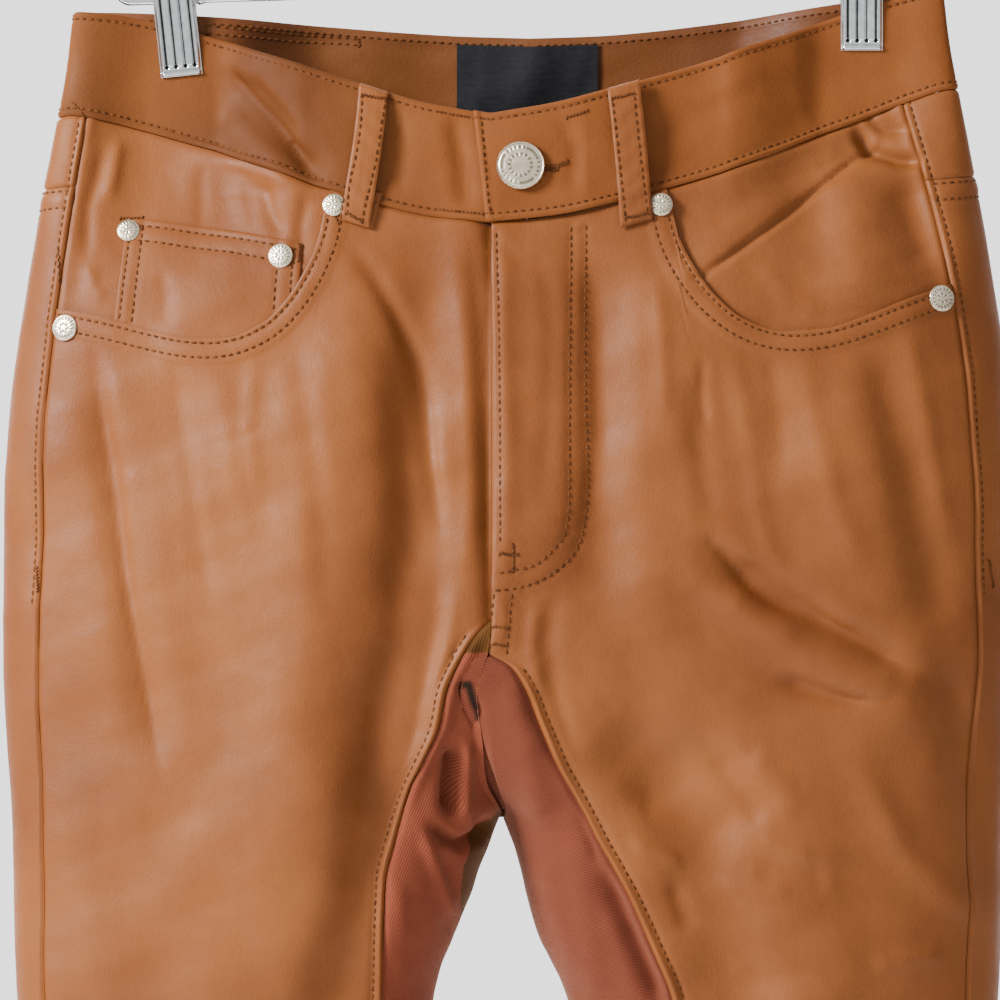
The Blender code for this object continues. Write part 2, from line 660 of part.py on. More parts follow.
def facing_drops(side, stop):
    """Drops down one column: to the coin pocket's line, to the scoop, and the tucked foot."""
    top = 60.0
    for _ in range(6):
        top = waist_seam[FRONT](facing_across(side, stop, top)) + 2.0 * SEAM_GAP
    foot = max(scoop(stop) - 2.2, top + 5.0)
    middle = min(coin_line(stop), mix(top, foot, 0.5))
    upper = [mix(top, middle, share) for share in (0.0, 0.35, 0.7, 1.0)]
    lower = [mix(middle, foot, share) for share in (0.33, 0.67, 1.0)]
    return upper + lower + [foot + FACING_FOOT]


def facing_point(side, stop, drop):
    """A point of the pocket's surface and the direction out of it."""
    return surface_point(skin, side, drop, around_of(drop, facing_across(side, stop, drop)))


def make_pocket_facing(side):
    """The layer behind the scooped pocket mouth, tucked under the front."""
    sunk = -(LEATHER + POCKET_GAP)
    stops = FACING_INNER + COIN_COLUMNS + (panel_reach(side, FACING_LEVEL) - SEAM_GAP,)
    columns = [facing_drops(side, stop) for stop in stops]
    rows = []
    for n in range(len(columns[0])):
        rows.append([(*facing_point(side, stop, drops[n]), sunk)
                     for stop, drops in zip(stops, columns)])
    wall(f"pocket_facing_{SIDE_NAME[side]}", rows, LEATHER, "leather")


def make_coin_pocket():
    """The small pocket on the right facing; the scooped edge of the front covers its foot."""
    lift = COIN_WALL + LAY_GAP - LEATHER - POCKET_GAP
    columns = [facing_drops(RIGHT, stop)[3:7] for stop in COIN_COLUMNS]
    rows = []
    for n in range(len(columns[0])):
        rows.append([(*facing_point(RIGHT, stop, drops[n]), lift)
                     for stop, drops in zip(COIN_COLUMNS, columns)])
    wall("coin_pocket", rows, COIN_WALL, "leather")


def back_columns():
    """Shares of the way from the outseam to the middle, closest where the side turns."""
    return (0.0, 0.07, 0.13, 0.175, 0.21, 0.25, 0.31, 0.39, 0.48, 0.57, 0.66, 0.75, 0.84,
            0.92, 1.0)


def back_place(side, drop, share):
    """Place round the section of a share of a back, from the outseam to its inner edge."""
    start = around_of(drop, panel_reach(side, drop) + SEAM_GAP)
    inner = inseam_across(side, BACK, drop) + SEAM_GAP
    end = 2.0 - around_of(drop, max(inner, leg_start(drop) + SEAM_GAP))
    return mix(start, end, share)


def settle(side, column, drop_at):
    """Drop and place where a column of the back meets a line whose drop depends on the place."""
    drop = 90.0
    for _ in range(6):
        around = back_place(side, drop, column)
        drop = drop_at(around)
    return drop, back_place(side, drop, column)


def make_yoke(side):
    """The shaped panel between the waistband and a back."""
    rows = []
    for share in (0.0, 0.34, 0.67, 1.0):
        row = []
        for column in back_columns():
            drop, around = settle(side, column, lambda place: mix(
                edge_drop(waist_seam, place) + SEAM_GAP, yoke_seam_at(place) - SEAM_GAP, share))
            row.append((*surface_point(skin, side, drop, around), 0.0))
        rows.append(row)
    wall(f"yoke_{SIDE_NAME[side]}", rows, LEATHER, "leather")


def make_back(side):
    """A back, wrapped round the side to the outseam and open at the hem."""
    tuck_steps = 4
    tops = []
    for column in back_columns():
        tops.append(settle(side, column, lambda place: yoke_seam_at(place) + SEAM_GAP)[0])
    drops = [[mix(top, TUCK_ROWS_END, n / tuck_steps) for top in tops] for n in range(tuck_steps)]
    for drop in THIGH_ROWS + (260.0,) + CROTCH_ROWS[side, BACK] + LEG_ROWS:
        drops.append([drop] * len(tops))
    rows = []
    for row_drops in drops:
        row = []
        for column, drop in zip(back_columns(), row_drops):
            row.append((*surface_point(skin, side, drop, back_place(side, drop, column)), 0.0))
        rows.append(row)
    wall(f"back_{SIDE_NAME[side]}", rows, LEATHER, "leather")


def inner_columns(side):
    """Columns of an inner-leg panel: face, share of the way out, and share of the centre line."""
    if side == LEFT:
        front = [(FRONT, w, w) for w in (1.0, 0.75, 0.5, 0.25)]
    else:
        front = [(FRONT, 1.0, None), (FRONT, 0.8, 1.0), (FRONT, 0.68, 0.75)]
        front += [(FRONT, 0.46, 0.5), (FRONT, 0.24, 0.25)]
    back = [(BACK, w, w) for w in (0.25, 0.5, 0.75, 1.0)]
    return front + [(FRONT, 0.0, 0.0)] + back


def make_inner_panel(side):
    """The twill panel of the inner leg, from the crotch's centre line to the hem."""
    rows = []
    levels = {face: CROTCH_ROWS[side, face] + LEG_ROWS for face in (FRONT, BACK)}
    for n in range(len(levels[FRONT])):
        row = []
        for face, share, line in inner_columns(side):
            if line is None:
                top = FRONT_CROTCH[side] + 1.0
            else:
                top = mix(BACK_CROTCH + 1.0, SADDLE, math.cos(0.5 * math.pi * line))
            level, first = levels[face][n], levels[face][0]
            even = min(1.0, n / levels[face].index(MEET))
            grown = mix(even, min(1.0, (level - first) / (MEET - first)), share)
            drop = mix(top, MEET, grown)
            if level >= MEET or (share == 1.0 and n > 0):
                drop = level
            centre = turn_of(drop, SEAM_GAP) if inner_edge(drop) < SEAM_GAP else 0.0
            seam = turn_of(drop, max(inseam_across(side, face, drop) - SEAM_GAP, SEAM_GAP))
            turn = share * seam
            if line is not None and share < 1.0:
                turn = mix(0.5 * math.pi * line, turn, grown ** 0.6)
            row.append((*surface_point(inner_skin, side, drop, -face * max(centre, turn)), 0.0))
        rows.append(row)
    wall(f"inner_panel_{SIDE_NAME[side]}", rows, TWILL, "twill")


def make_back_pocket(side):
    """A plain five-sided patch pocket that lies on the back."""
    seat = Seat([f"back_{SIDE_NAME[side]}"])
    steps = 8
    rows = []
    for n in range(steps + 1):
        share = n / steps
        row = []
        for k in range(steps + 1):
            column = mix(-1.0, 1.0, k / steps)
            across = BACK_POCKET_MIDDLE + column * mix(*BACK_POCKET_HALF, share)
            top = mix(*BACK_POCKET_MOUTH, k / steps)
            foot = BACK_POCKET_POINT - BACK_POCKET_RISE * abs(column)
            drop = mix(top, foot, share)
            place = 2.0 - around_of(drop, across)
            point, normal = surface_point(skin, side, drop, place)
            row.append((seat.on(point, normal), normal, POCKET_GAP + LEATHER))
        rows.append(row)
    wall(f"back_pocket_{SIDE_NAME[side]}", rows, LEATHER, "leather")


def make_belt_loop(name, side, face, top_across, foot_across, cloth):
    """A strip sewn down at both ends and slack between, over the waistband."""
    seat = Seat(cloth)
    rows = []
    for share in (0.0, 0.1, 0.25, 0.42, 0.58, 0.74, 0.88, 1.0):
        row = []
        for column in (-1.0, 0.0, 1.0):
            across = mix(top_across, foot_across, share) + column * LOOP_HALF
            top = band_top[face](abs(across)) + LAY_GAP
            foot = waist_seam[face](abs(across)) + LOOP_PAST_SEAM
            drop = mix(top, foot, share)
            place = around_of(drop, across)
            if face == BACK:
                place = 2.0 - place
            point, normal = surface_point(skin, side, drop, place)
            slack = LOOP_SLACK * math.sin(math.pi * share) ** 0.6
            row.append((seat.on(point, normal), normal, POCKET_GAP + LOOP + slack))
        rows.append(row)
    wall(name, rows, LOOP, "leather")


def make_stud(name, across, drop, radius, height, cloth, steps):
    """A round metal head that sits on the front's cloth."""
    seat = Seat([cloth])
    side = LEFT if across > 0.0 else RIGHT
    rings = []
    for share, rise in steps:
        ring = []
        for n in range(STUD_SIDES):
            angle = 2.0 * math.pi * n / STUD_SIDES
            x = across + radius * share * math.cos(angle)
            d = drop + radius * share * math.sin(angle)
            place = around_of(d, side * untwist(FRONT, x, d))
            point, normal = surface_point(skin, side, d, place)
            ring.append(seat.on(point, normal) + normal * (LAY_GAP + height * rise))
        rings.append(ring)
    return lathe_rings(name, rings, "stud", 40.0)


def make_button():
    """The waist button: a domed head with a raised rim."""
    across, drop, radius = BUTTON
    steps = ((0.5, 0.0), (0.97, 0.0), (1.0, 0.35), (0.97, 0.8), (0.9, 0.95), (0.82, 0.78),
             (0.6, 0.9), (0.3, 1.0))
    make_stud("button", across, drop, radius, BUTTON_HEIGHT, "waistband_left", steps)


def make_rivet(name, across, drop, radius, cloth):
    """A pocket rivet with a low domed head."""
    steps = ((0.5, 0.0), (0.94, 0.0), (1.0, 0.4), (0.9, 0.8), (0.5, 1.0))
    make_stud(name, across, drop, radius, RIVET_HEIGHT, cloth, steps)


def make_label():
    """The bare woven label inside the back of the waistband."""
    rows = []
    for share in (0.0, 0.5, 1.0):
        row = []
        for column in (-1.0, -0.6, -0.2, 0.2, 0.6, 1.0):
            x = LABEL_HALF * column
            side = LEFT if x > 0.0 else RIGHT
            drop = band_top[BACK](abs(x)) + mix(*LABEL_EDGES, share)
            point, normal = surface_point(skin, side, drop, 2.0 - around_of(drop, abs(x)))
            row.append((point, normal, -(BAND + LAY_GAP)))
        rows.append(row)
    wall("label", rows, LABEL_WALL, "label")


# ---- The hanger --------------------------------------------------------------------------------
def bar_height(x):
    """Height of the bar's middle, in millimetres. It hangs a little higher on the left."""
    return x * math.tan(BAR_RISE) - HOOK_TO_WAIST - BAR_DROP


def make_hanger_bar():
    """A straight wire whose ends curl up and back as stops for the clips."""
    path = []
    for side in (RIGHT, LEFT):
        end = []
        for step in range(8):
            angle = math.radians(-90.0 + 26.0 * step)
            x = side * (BAR_REACH + BAR_CURL * math.cos(angle))
            z = bar_height(side * BAR_REACH) + BAR_CURL * (1.0 + math.sin(angle))
            end.append(Vector((x, 0.0, z)))
        path += list(reversed(end)) if side == RIGHT else end
    wire("hanger_bar", path, BAR_RADIUS, 8)


def make_hanger_hook():
    """The hook: a stem from the bar that swings out and over the rail."""
    foot = bar_height(0.0) + BAR_RADIUS + LAY_GAP
    path = [Vector((0.0, 0.0, z)) for z in (foot, 0.5 * (foot + HOOK_STEM[0][1]))]
    path += [Vector((x, 0.0, z)) for x, z in HOOK_STEM]
    middle = HOOK_RADIUS - HOOK_BEND
    for step in range(13):
        angle = math.radians(-28.0 + 20.0 * step)
        path.append(Vector((HOOK_BEND * math.cos(angle), 0.0, middle + HOOK_BEND * math.sin(angle))))
    wire("hanger_hook", path, HOOK_RADIUS)


def jaw_outline(half):
    """Fluted cross-section of a jaw: pairs of distance across and outward height."""
    outline = []
    for n in range(4 * JAW_FLUTES + 1):
        x = mix(-half, half, n / (4.0 * JAW_FLUTES))
        groove = 0.5 - 0.5 * math.cos(0.5 * math.pi * n)
        outline.append((x, JAW_WALL - JAW_GROOVE * groove))
    return outline


def make_clip(side):
    """One clip: a fluted jaw before and behind the cloth and a sleeve on the bar."""
    x_clip = CLIP_X[side]
    pivot = Vector((x_clip, 0.0, bar_height(x_clip)))
    tilt = CLIP_TILT[side]
    across = Vector((math.cos(tilt), 0.0, -math.sin(tilt)))
    upright = Vector((math.sin(tilt), 0.0, math.cos(tilt)))
    for face in (FRONT, BACK):
        outline = jaw_outline(JAW_HALF)
        rings = []
        for height, stand in JAW_STATIONS:
            flat = height in (JAW_STATIONS[0][0], JAW_STATIONS[-1][0])
            ring = []
            for x, out in outline:
                out = JAW_WALL if flat else out
                y = face * (stand + out)
                ring.append(pivot + across * x + upright * height + Vector((0.0, y, 0.0)))
            for x, _ in reversed(outline[::4]):
                y = face * stand
                ring.append(pivot + across * x + upright * height + Vector((0.0, y, 0.0)))
            rings.append(ring)
        lathe_rings(f"clip_{SIDE_NAME[side]}_{FACE_NAME[face]}_jaw", rings, "chrome", 30.0)
    make_sleeve(f"clip_{SIDE_NAME[side]}_sleeve", pivot)


def make_sleeve(name, pivot):
    """The short tube on the bar that both jaws bear on."""
    inner, outer, half, sides = BAR_RADIUS + LAY_GAP, SLEEVE_RADIUS, SLEEVE_HALF, 16
    along = Vector((math.cos(BAR_RISE), 0.0, math.sin(BAR_RISE)))
    upright = Vector((-math.sin(BAR_RISE), 0.0, math.cos(BAR_RISE)))
    points, faces = [], []
    for radius, x in ((inner, -half), (outer, -half), (outer, half), (inner, half)):
        for n in range(sides):
            angle = 2.0 * math.pi * n / sides
            offset = Vector((0.0, math.cos(angle), 0.0)) + upright * math.sin(angle)
            points.append(pivot + along * x + offset * radius)
    for ring in range(4):
        after = (ring + 1) % 4
        for n in range(sides):
            k = (n + 1) % sides
            faces.append((ring * sides + n, ring * sides + k, after * sides + k, after * sides + n))
    add_object(name, points, faces, "chrome", 40.0)


def main():
    for item in list(bpy.data.objects):
        bpy.data.objects.remove(item, do_unlink=True)
    for side in (RIGHT, LEFT):
        make_waistband(side)
        make_front(side)
        make_pocket_facing(side)
        make_yoke(side)
        make_back(side)
        make_inner_panel(side)
        make_back_pocket(side)
    make_coin_pocket()
    for side in (RIGHT, LEFT):
        name = SIDE_NAME[side]
        front_cloth = [f"waistband_{name}", f"front_{name}"]
        make_belt_loop(f"belt_loop_front_{name}", side, FRONT, 51.5, 57.0, front_cloth)
        back_cloth = [f"waistband_{name}", f"yoke_{name}"]
        make_belt_loop(f"belt_loop_back_{name}", side, BACK, 78.0, 78.0, back_cloth)
    centre_cloth = ["waistband_right", "yoke_right", "waistband_left", "yoke_left"]
    make_belt_loop("belt_loop_centre_back", LEFT, BACK, 0.0, 0.0, centre_cloth)
    make_button()
    for rivet in RIVETS:
        make_rivet(*rivet)
    make_label()
    make_hanger_bar()
    make_hanger_hook()
    for side in (RIGHT, LEFT):
        make_clip(side)


main()
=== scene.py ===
"""Looks of the flared faux-leather jeans on a clip hanger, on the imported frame.

Cloth is worked out in millimetres from the same tables as the solids. Folds and seams that the
photo shows are given in its pixels, and read through to_px and from_px.
"""
import math

import bpy
import numpy as np
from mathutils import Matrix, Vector
from mathutils.bvhtree import BVHTree


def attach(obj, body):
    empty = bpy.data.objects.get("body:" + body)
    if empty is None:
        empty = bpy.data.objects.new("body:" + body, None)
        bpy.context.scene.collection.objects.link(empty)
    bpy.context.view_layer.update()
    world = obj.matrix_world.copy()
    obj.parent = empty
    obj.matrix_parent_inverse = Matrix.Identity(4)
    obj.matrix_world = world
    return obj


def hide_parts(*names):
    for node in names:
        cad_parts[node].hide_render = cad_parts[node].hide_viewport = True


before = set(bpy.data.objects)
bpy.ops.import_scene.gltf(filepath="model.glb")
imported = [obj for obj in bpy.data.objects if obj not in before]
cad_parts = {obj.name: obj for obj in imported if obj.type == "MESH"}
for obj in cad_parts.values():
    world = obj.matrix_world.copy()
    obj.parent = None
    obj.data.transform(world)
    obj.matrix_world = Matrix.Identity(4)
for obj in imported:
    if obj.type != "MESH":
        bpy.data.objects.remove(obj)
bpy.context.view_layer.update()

MM = 0.001
PIXEL = 0.42                 # millimetres for one pixel of the photo
CENTRE_COLUMN = 508.0        # the photo's column through the garment's centre
TOP_HEIGHT = -98.9           # height of the photo's top edge, in millimetres
RIGHT, LEFT = -1, 1          # the wearer's sides, also the sign of X
FRONT, BACK = -1, 1          # the sign of Y
SIDE_NAME = {RIGHT: "right", LEFT: "left"}
FACE_NAME = {FRONT: "front", BACK: "back"}

# ---- The form, as in the solids -----------------------------------------------------------------
# Heights on the cloth are given as a drop, in millimetres below the waistband's side corners.
HOOK_TO_WAIST = 97.0         # from the rail down to those corners
LEATHER, TWILL, BAND, LOOP = 1.3, 1.1, 2.4, 1.8     # walls of the cloth
ROUNDNESS = 2.5              # power of the rounded section, 2 is an ellipse
FRONT_CROTCH = {RIGHT: 262.0, LEFT: 276.0}
BACK_CROTCH = 276.0
SADDLE = 344.0               # where the legs part
MEET = 370.0                 # below this the rows of an inner-leg panel are level
LEAN, LEAN_AT = 5.5, 185.0   # rise of the left hip and drop of the right one, and where
LEAN_END = (200.0, 422.0)    # the lean fades out between these drops
TWIST_REACH = 150.0          # the twist fades out this far from the centre
CLIP_X = {RIGHT: -138.0, LEFT: 149.0}
CLIP_TILT = {RIGHT: math.radians(-6.0), LEFT: 0.0}
PINCH_HALF = 3.1             # half of the thickness of cloth between the jaws
PINCH_FLAT = 14.0            # the cloth is flat this far to each side of a clip
PINCH_IN, PINCH_OUT = 56.0, 62.0    # and free again this far towards the centre or the side
PINCH_FULL, PINCH_END = 34.0, 130.0  # drops at which the pinch starts to fade and is gone
YOKE_SIDE = {RIGHT: 74.0, LEFT: 81.5}
YOKE_CENTRE = 128.0
HEM = 1060.0
HEM_ROW = 10.5               # from the hem's edge up to its stitches
FRONT_SPAN = 190.0           # the columns of a front are spaced for this width
FACING_LEVEL = 126.0         # the facing's and the coin pocket's columns are measured here
COIN_SIDES = (84.5, 165.0)   # inner and outer side of the coin pocket
COIN_TOP = (103.0, 88.0)     # drop of its top edge at those sides
POCKET_MIDDLE = 90.0         # middle of a back pocket, from centre back
POCKET_HALF = (66.0, 58.0)   # half of its width at the mouth and at the foot
POCKET_MOUTH = (136.0, 131.0)        # drop of the mouth, inner and outer end
POCKET_POINT = 268.0         # drop of the point at its foot
POCKET_RISE = 22.0           # rise from the point to the lower corners
LOOP_HALF = 6.3              # half of the width of a belt loop
LOOP_PAST_SEAM = 11.5        # how far it runs below the waistband
BACK_LOOP = 78.0             # middle of a back belt loop, from centre back
LABEL_HALF = 30.0
LABEL_EDGES = (3.4, 36.0)    # from the waistband's top to the label's top and foot
SECTIONS = (
    # drop, half_width, inner_edge, inner_radius, front_depth, back_depth
    (0, 184, -60, 60, 21, 20), (25, 187, -60, 60, 24, 22),
    (45, 190.7, -60, 60, 27, 24), (75, 196.5, -60, 60, 31, 29),
    (115, 203.5, -60, 60, 38, 37), (175, 211.5, -60, 60, 46, 48),
    (235, 213.4, -60, 60, 50, 56), (276, 213.4, -60, 60, 51, 58),
    (310, 212, -30, 60, 51, 58), (344, 209.8, 0.3, 60, 51, 57),
    (358, 209.4, 5.6, 61, 51, 56), (389, 209, 15.1, 63, 51, 55),
    (422, 207.5, 28.2, 66, 50, 54), (480, 202, 37, 68, 49, 51),
    (570, 193, 43, 70, 46, 47), (700, 198, 39, 74, 46, 46),
    (850, 211, 30, 84, 48, 48), (1060, 233, 15, 100, 52, 52),
)
TWIST = (
    # drop, front, back
    (0, -7, 9), (60, -7, 9), (130, -7, 6), (230, -7, -3), (262, -7, -7),
    (276, -8.4, -8.4), (292, -13, -13), (310, -11, -11), (330, -7, -7),
    (344, -2, -2), (373, -3.7, -3.7), (400, -5, -5), (422, -3.4, -3.4),
    (480, 0, 0),
)
BAND_EDGES = (
    # across, front_top, front_seam, back_top, back_seam
    (0, 49.5, 95.5, 15.5, 59.5), (28, 44.7, 92.3, 14.7, 59), (53, 37.4, 86.3, 13, 57.7),
    (80, 29, 78.2, 10.5, 55.7), (105, 20.9, 69.9, 8, 53.4), (130, 12.8, 61, 5.3, 50.6),
    (152, 6.2, 53.4, 3, 48), (170, 2.1, 47.6, 1.2, 45.8), (187, 0, 44, 0, 44),
    (200, 0, 44, 0, 44),
)
OUTSEAM = (
    # drop, right, left
    (45, 13, 25), (80, 14, 22), (115, 15, 19), (210, 17, 17),
    (300, 15, 16), (422, 13.4, 14), (1060, 12, 12),
)
FRONT_INSEAM = {
    RIGHT: (
        (262, -7), (268, -13), (280, -20), (292, -25), (307, -28), (322, -34.9),
        (334.5, -41.2), (352, -46.6), (371, -51), (422, -52.5), (480, -58), (570, -70),
        (700, -70), (850, -60), (1060, -44),
    ),
    LEFT: (
        (276, -8.4), (281.6, 1), (291.7, 7.1), (304, 11.8), (322, 19.7), (339, 29),
        (355.5, 37.8), (375, 48.7), (396, 58.4), (422, 68.9), (480, 77), (570, 82),
        (700, 74), (850, 62), (1060, 46),
    ),
}
BACK_INSEAM = (
    (276, 0), (290, 12), (310, 22), (344, 34), (380, 46), (422, 56),
    (570, 74), (700, 72), (850, 62), (1060, 46),
)
SCOOP = (
    (71.8, 82.5), (75.5, 101), (81, 113.5), (89, 126), (101, 137), (117, 142.5),
    (133, 142), (150, 137.5), (168, 131.5), (192, 125),
)
CREASES = (
    # face, x0, drop0, x1, drop1, x2, drop2, width, height
    (FRONT, -26, 110, -36, 200, -40, 270, 13, -5.5),
    (FRONT, -40, 270, -55, 345, -74, 440, 14, -6.5),
    (FRONT, -74, 440, -92, 520, -104, 600, 14, -4),
    (FRONT, -64, 120, -76, 230, -84, 380, 22, 4),
    (FRONT, -173, 152, -166, 195, -148, 312, 8, -3),
    (FRONT, -123, 33, -98, 56, -74, 80, 8, -3.5),
    (FRONT, 89, 234, 130, 262, 172, 288, 6.5, -4.5),
    (FRONT, 84, 248, 126, 276, 168, 302, 8, 3),
    (FRONT, 112, 287, 137, 295, 168, 298, 5, -2.5),
    (FRONT, 44, 110, 46, 200, 40, 262, 14, -3.5),
    (FRONT, 62, 300, 84, 360, 98, 440, 17, -4.5),
    (FRONT, 122, 300, 128, 380, 132, 470, 20, 4),
    (FRONT, -120, 520, -112, 600, -118, 700, 20, -3.5),
    (FRONT, 96, 500, 118, 600, 116, 720, 20, -3.5),
    (FRONT, -160, 700, -168, 860, -176, 1060, 22, -4.5),
    (FRONT, -92, 780, -88, 900, -84, 1060, 24, 4),
    (FRONT, 150, 720, 166, 880, 172, 1060, 22, -4.5),
    (FRONT, 84, 800, 80, 920, 82, 1060, 24, 4),
    (BACK, -66, 280, -110, 300, -160, 296, 9, -4),
    (BACK, 70, 284, 112, 306, 158, 300, 9, -4),
    (BACK, -40, 300, -78, 350, -92, 450, 15, -4),
    (BACK, 42, 306, 80, 360, 96, 460, 15, -4),
    (BACK, -120, 480, -126, 590, -118, 700, 20, -4),
    (BACK, 124, 470, 118, 580, 122, 690, 20, -4),
    (BACK, -150, 720, -162, 880, -168, 1060, 24, -4.5),
    (BACK, 156, 700, 160, 880, 174, 1060, 24, -4.5),
)
LEG_ROWS = (316, 332, 350, 370)
CROTCH_ROWS = {
    (RIGHT, FRONT): (262, 267, 272, 278, 286, 294, 302),
    (LEFT, FRONT): (276, 278, 281, 285, 290, 296, 302),
    (RIGHT, BACK): (276, 278, 281, 285, 290, 296, 302),
    (LEFT, BACK): (276, 278, 281, 285, 290, 296, 302),
}
BUTTON = (5.2, 72.2, 10.3)
RIVETS = (
    ("rivet_inner_right", -72.7, 87.9, 4.9), ("rivet_coin_outer", -160, 94.2, 4.9),
    ("rivet_coin_inner", -95.3, 108.6, 5.3), ("rivet_outer_right", -186, 134, 5.6),
    ("rivet_inner_left", 64, 88.2, 4.9), ("rivet_outer_left", 182, 132.5, 5.6),
)

